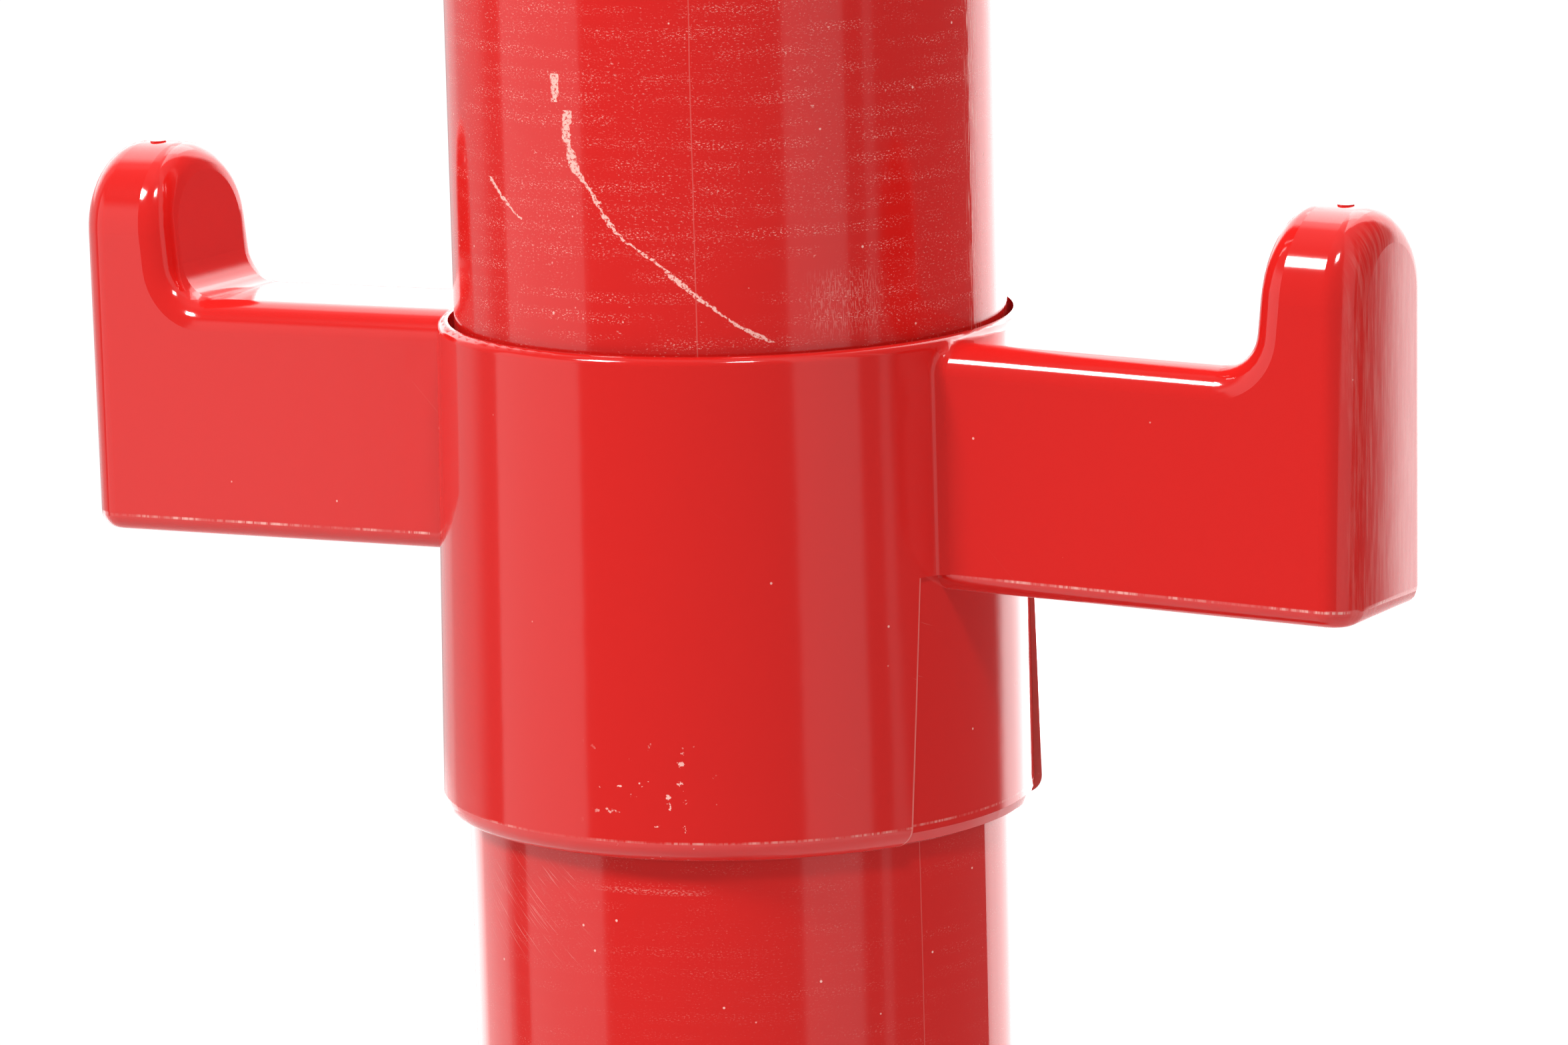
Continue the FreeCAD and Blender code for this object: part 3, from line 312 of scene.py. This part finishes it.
def slanted(tree, across, up):
    """Fine slanting scratches in one patch under the collar, and a short row of dots."""
    slope = 1.3
    lean = add(tree, "Math:ADD", across, add(tree, "Math:MULTIPLY", up, slope))
    over = add(tree, "Math:SUBTRACT", up, add(tree, "Math:MULTIPLY", across, slope))
    fine = add(tree, SMOOTH, noise(tree, lean, over, 0.45, 22.0, 2.0, 5.0), 0.60, 0.70)
    patch = both(tree, near(tree, across, -106.0, 10.0, 8.0), near(tree, up, 428.0, 7.0, 6.0))
    dots = both(tree, add(tree, SMOOTH, noise(tree, across, up, 0.7, 0.3, 3.0, 9.0), 0.5, 0.62),
                near(tree, up, 434.0, 0.3, 0.5), near(tree, across, -76.0, 6.0, 8.0))
    return [add(tree, "Math:MULTIPLY", both(tree, fine, patch), 0.3),
            add(tree, "Math:MULTIPLY", dots, 0.35)]


def streaked(tree, across, up):
    """Upright rubs where the pipe's side is set down, and a cross-hatched rub by the collar."""
    upright = add(tree, SMOOTH, noise(tree, across, up, 0.35, 9.0, 3.0, 5.0), 0.52, 0.62)
    side = both(tree, upright, near(tree, across, 1.0, 1.2, 2.5))
    weave = add(tree, SMOOTH, noise(tree, across, up, 0.3, 2.0, 3.0, 8.0), 0.5, 0.62)
    hatched = both(tree, weave, near(tree, across, -34.0, 4.0, 6.0),
                   near(tree, up, 549.0, 3.0, 5.0))
    return [add(tree, "Math:MULTIPLY", side, 0.55), add(tree, "Math:MULTIPLY", hatched, 0.24)]


# extruded ABS: a bright gloss that draws long upright bands, uneven across the pipe and
# straight along it, under pale dull rows of scuffs; the long scratch comes in four lengths of
# different widths, and a short one lies beside it
upper_pipe = pipe_red(
    "extruded_red_abs_upper",
    [([(-92.0, 594.0), (-92.2, 588.5)], 1.0),
     ([(-89.6, 587.0), (-88.9, 578.1), (-85.2, 572.2), (-83.2, 569.2)], 1.15),
     ([(-83.6, 569.8), (-79.6, 564.0), (-71.0, 557.6), (-68.4, 555.4)], 0.55),
     ([(-69.5, 556.4), (-61.3, 549.6), (-55.0, 545.2), (-49.4, 542.2)], 1.0),
     ([(-111.8, 572.5), (-107.9, 569.0), (-102.1, 564.9)], 0.8)],
    [-63.6, 60.0], 0.7, streaked)
# the same pipe, hardly scuffed, so its bands stay clean and only hairlines break them
lower_pipe = pipe_red("extruded_red_abs_lower", [], [-20.0, 100.0], 0.16, slanted)
print("made", upper_pipe.name, "and", lower_pipe.name)

# %% [markdown]
# ## The moulded collar
#
# The collar comes out of a mould in two halves, so a thin line of flash runs where the halves
# met: round the bottom lip, along each arm just above its lower edge, and down both sides of the
# flat strip under each arm.  Down the strip's sides the pale line is partly flash and partly
# painted highlight, standing in for light on a step that faces away and catches none.  Flash is
# trimmed by hand, and stays a little rough and pale.
# Knocks have chipped the lower front, and the arms' end faces are rubbed.  Every line is a
# height or a distance from the collar's top and axis, in millimetres.

# %% Flash, painted edge highlights and knocks on the collar
COLLAR_RADIUS = 59.6
RING_ENDS, ARM_STARTS = 60.5, 61.0
LIP_LINE, ARM_LINE, STRIP_TOP = (collar_top - drop for drop in (95.0, 45.0, 46.0))
ARM_DROOP = 0.018
STRIP_HALF, STRIP_SPREAD = 23.0, 4.2 / 53.2


def collar_flash_and_highlight(tree, up, x, y):
    """Thin pale lines where the mould's halves met, broken where they were trimmed well; down
    the strip's sides the line is partly flash and partly painted highlight.
    """
    reach = add(tree, "Math:ABSOLUTE", x)
    slant = add(tree, "Math:ADD", x, y)
    broken = add(tree, SMOOTH, noise(tree, slant, y, 1.2, 1.2, 3.0), 0.35, 0.6)
    kept = add(tree, SMOOTH, noise(tree, slant, y, 14.0, 14.0), 0.42, 0.62, 0.1)
    on_ring = add(tree, "Math:LESS_THAN", reach, RING_ENDS)
    ring_line = both(tree, near(tree, up, LIP_LINE, 0.12, 0.2), on_ring, broken)
    drooped = add(tree, "Math:ADD", up, add(tree, "Math:MULTIPLY", reach, ARM_DROOP))
    arm_line = both(tree, near(tree, drooped, ARM_LINE, 0.14, 0.22), broken,
                    add(tree, "Math:GREATER_THAN", reach, ARM_STARTS))
    below = add(tree, "Math:SUBTRACT", STRIP_TOP, up)
    spread = add(tree, "Math:MULTIPLY", below, STRIP_SPREAD)
    side = add(tree, "Math:SUBTRACT", add(tree, "Math:ABSOLUTE", y), spread)
    # painted highlight: the pale line down each side of the strip under the arms is partly flash
    # and partly a stand-in for light on the step there, which faces away and catches none
    strip_flash_and_highlight = both(tree, near(tree, side, STRIP_HALF, 0.12, 0.2),
                      add(tree, "Math:LESS_THAN", up, STRIP_TOP), on_ring)
    trimmed = either(tree, add(tree, "Math:MULTIPLY", ring_line, 0.5),
                     add(tree, "Math:MULTIPLY", arm_line, 0.8))
    return either(tree, both(tree, trimmed, kept), add(tree, "Math:MULTIPLY", strip_flash_and_highlight, 0.3))


def collar_knocks(tree, where, across, up, x, y):
    """Chips low on the front, specks, fine hairs, and upright rubs on the arms' end faces."""
    lumps = add(tree, SMOOTH, noise(tree, across, up, 2.9, 2.5, 4.0, 3.0), 0.645, 0.67)
    chips = both(tree, lumps, near(tree, across, -80.0, 6.0, 10.0),
                 near(tree, up, 453.0, 6.0, 9.0))
    specks = dust(tree, where, 3.2, 0.05, 0.10)
    lean = add(tree, "Math:ADD", x, up)
    hair = add(tree, SMOOTH, noise(tree, lean, y, 0.35, 14.0, 2.0, 2.0), 0.72, 0.78)
    rubbed = both(tree, hair, add(tree, SMOOTH, noise(tree, x, up, 22.0, 18.0), 0.5, 0.62))
    upright = add(tree, SMOOTH, noise(tree, y, up, 1.1, 16.0, 4.0, 5.0), 0.42, 0.66)
    at_end = add(tree, SMOOTH, add(tree, "Math:ABSOLUTE", x), 141.5, 145.0)
    return either(tree, chips, add(tree, "Math:MULTIPLY", specks, 0.8),
                  add(tree, "Math:MULTIPLY", rubbed, 0.22),
                  add(tree, "Math:MULTIPLY", both(tree, upright, at_end), 0.13))


print("lip line at height", round(LIP_LINE, 1), "and arm line at", round(ARM_LINE, 1))

# %% [markdown]
# ## The collar's finish
#
# A moulded skin has a faint orange peel, and the arms' flat end faces are a little crowned.
# A crown could be cut into the mesh, but it is less than a millimetre high, so a relief that
# falls with the square of the distance from the face's middle is enough to spread the
# reflection over it.


# %% Moulded collar
def collar_red():
    """Glossy moulded red plastic with flash, a painted edge highlight, knocks, orange peel and
    crowned arm ends.
    """
    material, tree, shader = plastic("moulded_red_abs_collar", RED)
    across, up = round_and_up(tree, COLLAR_RADIUS)
    where, (x, y, z) = place_mm(tree)
    mask = either(tree, collar_flash_and_highlight(tree, up, x, y),
                  collar_knocks(tree, where, across, up, x, y))
    peel = add(tree, "TexNoise", inputs={"Vector": where, "Scale": 1 / 9.0, "Detail": 2.0})
    skin = add(tree, "Math:ADD", add(tree, "Math:MULTIPLY", peel, 0.5),
               add(tree, "Math:MULTIPLY", mask, 0.06))
    at_end = add(tree, SMOOTH, add(tree, "Math:ABSOLUTE", x), 139.0, 144.0)
    crown = add(tree, "Math:MULTIPLY", both(tree, y, y, at_end), 0.045)
    relief = add(tree, "Math:SUBTRACT", skin, crown)
    worn(tree, shader, RED, PALE, mask, 0.10, 0.5, relief, 0.05)
    return material


# moulded ABS: the glossiest skin of all, with crisp lamp spots on every rounded edge and bands
# whose borders waver a little
collar_finish = collar_red()
print("made", collar_finish.name)

# %% [markdown]
# ## Plain plastics and rubber
#
# The head cap and the covers are moulded in red like the collar, but are hardly worn.  The
# bushes are nylon, the pad is polyurethane, the foot ring is enamelled and the wiper is
# rubber.  They differ in colour, in how wide a highlight they give and in how much dust they
# hold, so one function that is told those makes them all.


# %% Caps, covers, nylon and rubber
def moulded(name, colour, pale, gloss, rough, share, bump_mm=0.03):
    """Moulded plastic or rubber with soft unevenness, dust and a few rubs."""
    material, tree, shader = plastic(name, colour, gloss)
    where, (x, y, z) = place_mm(tree)
    slant = add(tree, "Math:ADD", x, y)
    rubs = add(tree, SMOOTH, noise(tree, slant, z, 0.4, 9.0, 3.0, 7.0), 0.66, 0.74)
    mask = either(tree, dust(tree, where, 2.4, share, 0.14),
                  add(tree, "Math:MULTIPLY", rubs, 0.35))
    peel = add(tree, "TexNoise", inputs={"Vector": where, "Scale": 1 / 4.0, "Detail": 3.0})
    worn(tree, shader, colour, pale, mask, gloss, rough, peel, bump_mm)
    return material


# moulded ABS: the pipe's red with a slightly wider highlight and a few specks
cap_finish = moulded("moulded_red_abs_cap", RED, PALE, 0.16, 0.5, 0.10)
# moulded ABS from another shot: a shade darker and duller, so the lids read as pieces
cover_finish = moulded("moulded_red_abs_cover", "AD1814", PALE, 0.24, 0.5, 0.10)
# cast nylon: creamy and waxy, with soft wide highlights
nylon_finish = moulded("cast_nylon", "E9E2CF", "FFFDF4", 0.38, 0.55, 0.12)
# cast polyurethane: dark grey with a low sheen, dusty in the open
pad_finish = moulded("cast_polyurethane_pad", "3B3D40", "77777A", 0.42, 0.6, 0.15)
# stoved black enamel on steel: near black under a clear gloss, with pale chips and grit
foot_finish = moulded("black_enamel_on_steel", "17181A", "8E8C88", 0.28, 0.5, 0.25)
# moulded rubber: black and dull, with a grey bloom of dust and no clear reflection
rubber_finish = moulded("moulded_rubber", "1B1B1D", "5E5C5A", 0.55, 0.75, 0.25, 0.05)
print("made six plain mouldings and paints")

# %% [markdown]
# ## Steel and iron
#
# Drawn tube has fine lines along its length, turned pieces have rings, and zinc plate on the
# screws is smoother and cooler.  The hammer tube is ground, so its fine lines run round it,
# and sliding has rubbed it bright.  The cast weight is dark and grainy.  All are noise that is
# stretched along or round the axis, or not at all, and varies the roughness and the height.

# %% Metals
STEEL_RADIUS = 48.0
STAIN_MM = 18.0


def metal(name, colour, dark, rough, along_mm, round_mm, bump_mm, stain=0.4):
    """Worked metal: grain of those lengths along and round the axis, and soft stains."""
    material = bpy.data.materials.new(name)
    material.use_nodes = True
    tree = material.node_tree
    shader = tree.nodes["Principled BSDF"]
    shader.inputs["Metallic"].default_value = 1.0
    across, up = round_and_up(tree, STEEL_RADIUS)
    where, _ = place_mm(tree)
    # real tool lines lie hundredths of a millimetre apart, too fine to show, so they are drawn
    # half a millimetre apart or more
    lines = noise(tree, across, up, round_mm, along_mm, 4.0)
    clouds = add(tree, "TexNoise", inputs={"Vector": where, "Scale": 1 / STAIN_MM,
                                           "Detail": 4.0})
    share = add(tree, "Math:MULTIPLY", add(tree, SMOOTH, clouds, 0.45, 0.7), stain)
    tint = add(tree, "Mix:RGBA", share, out=2, inputs={6: linear(colour), 7: linear(dark)})
    tree.links.new(tint, shader.inputs["Base Color"])
    tree.links.new(add(tree, SMOOTH, lines, 0.2, 0.8, rough * 0.75, rough * 1.3),
                   shader.inputs["Roughness"])
    bump = add(tree, "Bump", inputs={"Height": lines, "Distance": bump_mm * MM,
                                     "Strength": 1.0})
    tree.links.new(bump, shader.inputs["Normal"])
    return material


# cold-drawn tube: mid grey, with hair-thin lines along it that smear highlights sideways
drawn_steel = metal("cold_drawn_steel_tube", "B9BBBD", "77787A", 0.28, 60.0, 0.8, 0.02)
# ground and slid-on tube: nearly a mirror, with soft rings round it and cloudy stains
slid_steel = metal("ground_steel_tube", "C6C8C9", "8B8C8E", 0.20, 0.5, 30.0, 0.012)
# zinc-plated washer: pale and cool, with pressed rings
washer_finish = metal("zinc_plated_washer", "B4B7B8", "85878A", 0.30, 0.5, 25.0, 0.02)
# turned plate: duller grey, with rings from the lathe that fan the light out
anvil_finish = metal("turned_steel_plate", "9A9B9C", "5E5F61", 0.35, 0.5, 20.0, 0.03)
# zinc-plated screw: small, bright and bluish, almost free of stains
screw_finish = metal("zinc_plated_screw", "C9CCCE", "9A9DA0", 0.22, 0.6, 0.6, 0.01, 0.2)
# blued spring steel: dark blue-grey, smooth, with a tight highlight
spring_finish = metal("blued_spring_steel", "5A6270", "2F343C", 0.30, 1.0, 8.0, 0.01)
# cast iron: dark brown-grey sand grain that scatters light in sparks
iron_finish = metal("cast_iron_weight", "5C5A58", "363432", 0.55, 1.6, 1.6, 0.12)
print("made seven metals")

# %% [markdown]
# ## Giving every piece its finish
#
# The engineering record names a material slot for each piece, so one table from slot to finish
# dresses all thirty, and a piece that is added later gets its finish from its slot.

# %% Give every piece its finish
FINISH = {
    "guide_steel": drawn_steel, "foot_steel": foot_finish, "anvil_steel": anvil_finish,
    "pad_plastic": pad_finish, "screw_steel": screw_finish, "bush_nylon": nylon_finish,
    "spring_steel": spring_finish, "red_pipe_lower": lower_pipe, "wiper_rubber": rubber_finish,
    "foot_screw_steel": screw_finish, "hammer_steel": slid_steel, "weight_iron": iron_finish,
    "red_pipe_upper": upper_pipe, "red_cap": cap_finish, "washer_steel": washer_finish,
    "cap_screw_steel": screw_finish, "red_collar": collar_finish, "red_cover": cover_finish,
    "cover_screw_steel": screw_finish,
}
slot_of = {row["node"]: row["material_slot"] for row in frame["record"]["subparts"]}
for name, piece in frame["nodes"].items():
    piece.data.materials.clear()
    piece.data.materials.append(FINISH[slot_of[name]])
print("finished pieces:", len(slot_of))

# %% [markdown]
# ## The studio
#
# Gloss only shows what stands around it.  A bright world lights the red mostly from behind,
# and two tall soft boxes stand in front, left and right, with a dim room between them.  Each
# soft box draws a pale upright band with a crisp edge down every red pipe.  The boxes could be
# lamps or glowing cards, but painted into the world by direction their bands stay the same at
# any height.  A direction is a turn in degrees to the right of the camera's side, and a lift
# in degrees.

# %% Directions in the world
FACING = math.radians(30.0)


def turn_and_lift(tree):
    """Degrees round from the camera's side and degrees up, of each direction in the world."""
    x, y, z = add(tree, "SeparateXYZ", add(tree, "TexCoord", out=0)).node.outputs
    ahead = add(tree, "Math:ADD", add(tree, "Math:MULTIPLY", x, math.sin(FACING)),
                add(tree, "Math:MULTIPLY", y, -math.cos(FACING)))
    aside = add(tree, "Math:ADD", add(tree, "Math:MULTIPLY", x, math.cos(FACING)),
                add(tree, "Math:MULTIPLY", y, math.sin(FACING)))
    turn = add(tree, "Math:DEGREES", add(tree, "Math:ARCTAN2", aside, ahead))
    return turn, add(tree, "Math:DEGREES", add(tree, "Math:ARCSINE", z))


def tall_box(tree, turn, low, high, edge, level):
    """A soft box of one brightness between two turns, with soft edges."""
    span = near(tree, turn, (low + high) / 2, (high - low) / 2, edge)
    return add(tree, "Math:MULTIPLY", span, level)


def front_boxes(tree, turn, lift):
    """The left soft box, which ends about 30 degrees up, the right one, and a narrow slit."""
    below_top = add(tree, SMOOTH, lift, 20.0, 32.0, 1.0, 0.0)
    left = both(tree, tall_box(tree, turn, -104.0, -62.0, 1.0, 0.88), below_top)
    right = tall_box(tree, turn, 25.0, 49.0, 2.5, 0.62)
    slit = tall_box(tree, turn, 60.0, 63.0, 1.5, 0.4)
    return either(tree, left, right, slit)


print("facing", round(math.degrees(FACING)), "degrees to the right of the collar's front")

# %% [markdown]
# ## Behind and above
#
# Bright sheets stand behind on both sides and light the edges of the tubes, where gloss is
# strongest.  On the left they sweep down to the ground and are brighter there, and a dark flag
# cuts a little of them away.  A backdrop above eye level turns the arms' tops white, and a
# dimmer ceiling keeps the domed tips a deep red.  The camera itself sees plain white all
# round, so the world is bright for it whatever the gloss sees.

# %% Sheets, backdrop, ceiling and the world
ROOM, CEILING, BACKDROP, SEEN_WHITE = 0.24, 0.6, 2.6, 1.05


def side_sheets(tree, turn, lift):
    """Bright sheets behind on the right and the left."""
    right = add(tree, "Math:ADD",
                add(tree, "Math:MULTIPLY", add(tree, SMOOTH, turn, 134.0, 152.0), 1.2),
                add(tree, "Math:MULTIPLY", add(tree, SMOOTH, turn, 120.0, 129.5), 2.8))
    sweep = add(tree, SMOOTH, lift, -13.0, -11.4, 1.0, 0.0)
    left = both(tree, add(tree, SMOOTH, turn, -124.0, -112.0, 1.0, 0.0),
                add(tree, SMOOTH, sweep, 0.0, 1.0, 0.35, 1.1))
    flag = add(tree, SMOOTH, turn, -172.0, -164.0, 0.45, 1.0)
    left_back = both(tree, add(tree, SMOOTH, turn, -150.0, -138.0, 1.0, 0.0),
                     add(tree, SMOOTH, sweep, 0.0, 1.0, 0.6, 2.2), flag)
    return either(tree, right, left, left_back)


def high_lights(tree, turn, lift):
    """The backdrop above eye level, and the ceiling."""
    backdrop = both(tree, add(tree, SMOOTH, add(tree, "Math:ABSOLUTE", turn), 125.0, 150.0),
                    add(tree, SMOOTH, lift, 0.0, 4.0),
                    add(tree, SMOOTH, lift, 50.0, 75.0, 1.0, 0.4))
    ceiling = add(tree, "Math:MULTIPLY", add(tree, SMOOTH, lift, 34.0, 75.0), CEILING)
    return either(tree, ceiling, add(tree, "Math:MULTIPLY", backdrop, BACKDROP))


def studio():
    """Paint the world, and show the camera plain white."""
    world = bpy.data.worlds.new("studio")
    scene.world = world
    world.use_nodes = True
    tree = world.node_tree
    tree.nodes.clear()
    turn, lift = turn_and_lift(tree)
    low_part = either(tree, front_boxes(tree, turn, lift), side_sheets(tree, turn, lift))
    total = either(tree, add(tree, "Math:ADD", low_part, ROOM), high_lights(tree, turn, lift))
    level = add(tree, "Mix:FLOAT", add(tree, "LightPath", out=0), None, total, SEEN_WHITE)
    back = add(tree, "Background", (1.0, 1.0, 1.0, 1.0), level)
    tree.links.new(back, tree.nodes.new("ShaderNodeOutputWorld").inputs[0])


studio()
scene.view_settings.view_transform = "Standard"
scene.view_settings.look = "None"
print("the studio has", len(scene.world.node_tree.nodes), "nodes")

# %% [markdown]
# ## The floor
#
# The driver stands on a matt white board, which catches its shadow.  The board glows a little
# more towards its rim, so that it meets the white world without an edge.


# %% A pale floor
def floor_disc(radius, rings=24, spokes=96):
    """A flat disc: rings of points at even radii, joined in quads, and a fan in the middle."""
    angles = np.linspace(0, 2 * math.pi, spokes, endpoint=False)
    radii = radius * np.linspace(1 / rings, 1, rings)
    ring, spoke = np.meshgrid(radii, angles, indexing="ij")
    points = np.stack([ring * np.cos(spoke), ring * np.sin(spoke), 0 * ring], -1).reshape(-1, 3)
    points = np.vstack([points, [[0.0, 0.0, 0.0]]])
    row, column = np.meshgrid(np.arange(rings - 1), np.arange(spokes), indexing="ij")
    here = row * spokes + column
    beside = row * spokes + (column + 1) % spokes
    quads = np.stack([here, here + spokes, beside + spokes, beside], -1).reshape(-1, 4)
    first = np.arange(spokes)
    fan = np.stack([np.full(spokes, len(points) - 1), first, (first + 1) % spokes], -1)
    mesh = bpy.data.meshes.new("floor")
    mesh.from_pydata(points.tolist(), [], quads.tolist() + fan.tolist())
    disc = bpy.data.objects.new("floor", mesh)
    scene.collection.objects.link(disc)
    return disc


def white_board():
    """Matt white paint that glows more from half a metre out to the rim."""
    paint = bpy.data.materials.new("matt_white_board")
    paint.use_nodes = True
    tree = paint.node_tree
    board = tree.nodes["Principled BSDF"]
    board.inputs["Base Color"].default_value = linear("C8C8C8")
    board.inputs["Roughness"].default_value = 0.8
    board.inputs["Emission Color"].default_value = (1.0, 1.0, 1.0, 1.0)
    _, (x, y, z) = place_mm(tree)
    away = add(tree, "Math:SQRT", add(tree, "Math:ADD", both(tree, x, x), both(tree, y, y)))
    tree.links.new(add(tree, SMOOTH, away, 500.0, 1300.0, 0.05, 0.45),
                   board.inputs["Emission Strength"])
    return paint


floor = floor_disc(1.35)
floor.location.z = cad_low.z
# matt painted board: no reflection at all, only a soft shadow where the foot ring stands
floor.data.materials.append(white_board())
print("floor at height", round(floor.location.z, 4))

# %% [markdown]
# ## The camera
#
# A long lens keeps the arms' edges nearly parallel.  It looks from a little above, thirty
# degrees to the right of the collar's front, at a point below the collar's top and slightly to
# the right of the axis, and is rolled by a degree and a half.

# %% Camera
LOOK_DOWN, ROLL = math.radians(10.4209), math.radians(-1.4704)
BELOW_TOP_MM, RIGHT_OF_AXIS_MM = 43.0201, 9.5467
FILM_MM, LENS_MM, DISTANCE = 36.0, 180.83, 1.57437


def aim_camera():
    """Build the camera's three axes from its turn, lift and roll, and stand it back."""
    back = Vector((math.sin(FACING) * math.cos(LOOK_DOWN),
                   -math.cos(FACING) * math.cos(LOOK_DOWN), math.sin(LOOK_DOWN)))
    right = Vector((math.cos(FACING), math.sin(FACING), 0.0))
    up = back.cross(right)
    target = Vector((0.0, 0.0, (collar_top - BELOW_TOP_MM) * MM)) + right * RIGHT_OF_AXIS_MM * MM
    lens = bpy.data.cameras.new("long_lens")
    lens.sensor_width = FILM_MM
    lens.lens = LENS_MM
    camera = bpy.data.objects.new("long_lens", lens)
    across = right * math.cos(ROLL) + up * math.sin(ROLL)
    upward = up * math.cos(ROLL) - right * math.sin(ROLL)
    turn = Matrix((across, upward, back)).transposed().to_4x4()
    camera.matrix_world = Matrix.Translation(target + back * DISTANCE) @ turn
    scene.collection.objects.link(camera)
    scene.camera = camera
    return camera


camera = aim_camera()
print("camera at", [round(part, 3) for part in camera.matrix_world.translation])

# %% [markdown]
# ## The lamps
#
# Three soft lamps add what the world can't: small bright spots on rounded edges.  The key's
# turn is chosen so that its spot runs along the whole front edge of the right arm, because a
# rounded straight edge shows a lamp that lies on a cone round that edge.

# %% Lights
LAMPS = [
    # name, turn, lift, distance in metres, size in metres, power
    ("key", -33.5, 45.0, 2.2, 0.4, 30.0),
    ("second_key", 35.0, 52.0, 2.3, 0.30, 16.0),
    ("fill_behind", 200.0, 50.0, 2.4, 1.2, 8.0),
]
AIM = Vector((0.0, 0.0, 0.45))


def soft_light(name, turn, lift, distance, size, power):
    """A square area light that looks at the collar from that direction."""
    azimuth, elevation = math.radians(turn), math.radians(lift)
    way = Vector((math.sin(azimuth) * math.cos(elevation),
                  -math.cos(azimuth) * math.cos(elevation), math.sin(elevation)))
    light = bpy.data.lights.new(name, "AREA")
    light.size = size
    light.energy = power
    lamp = bpy.data.objects.new(name, light)
    aimed = way.to_track_quat("Z", "Y").to_matrix().to_4x4()
    lamp.matrix_world = Matrix.Translation(AIM + way * distance) @ aimed
    lamp.visible_camera = False
    scene.collection.objects.link(lamp)


for lamp in LAMPS:
    soft_light(*lamp)
print("soft lamps:", len(LAMPS))
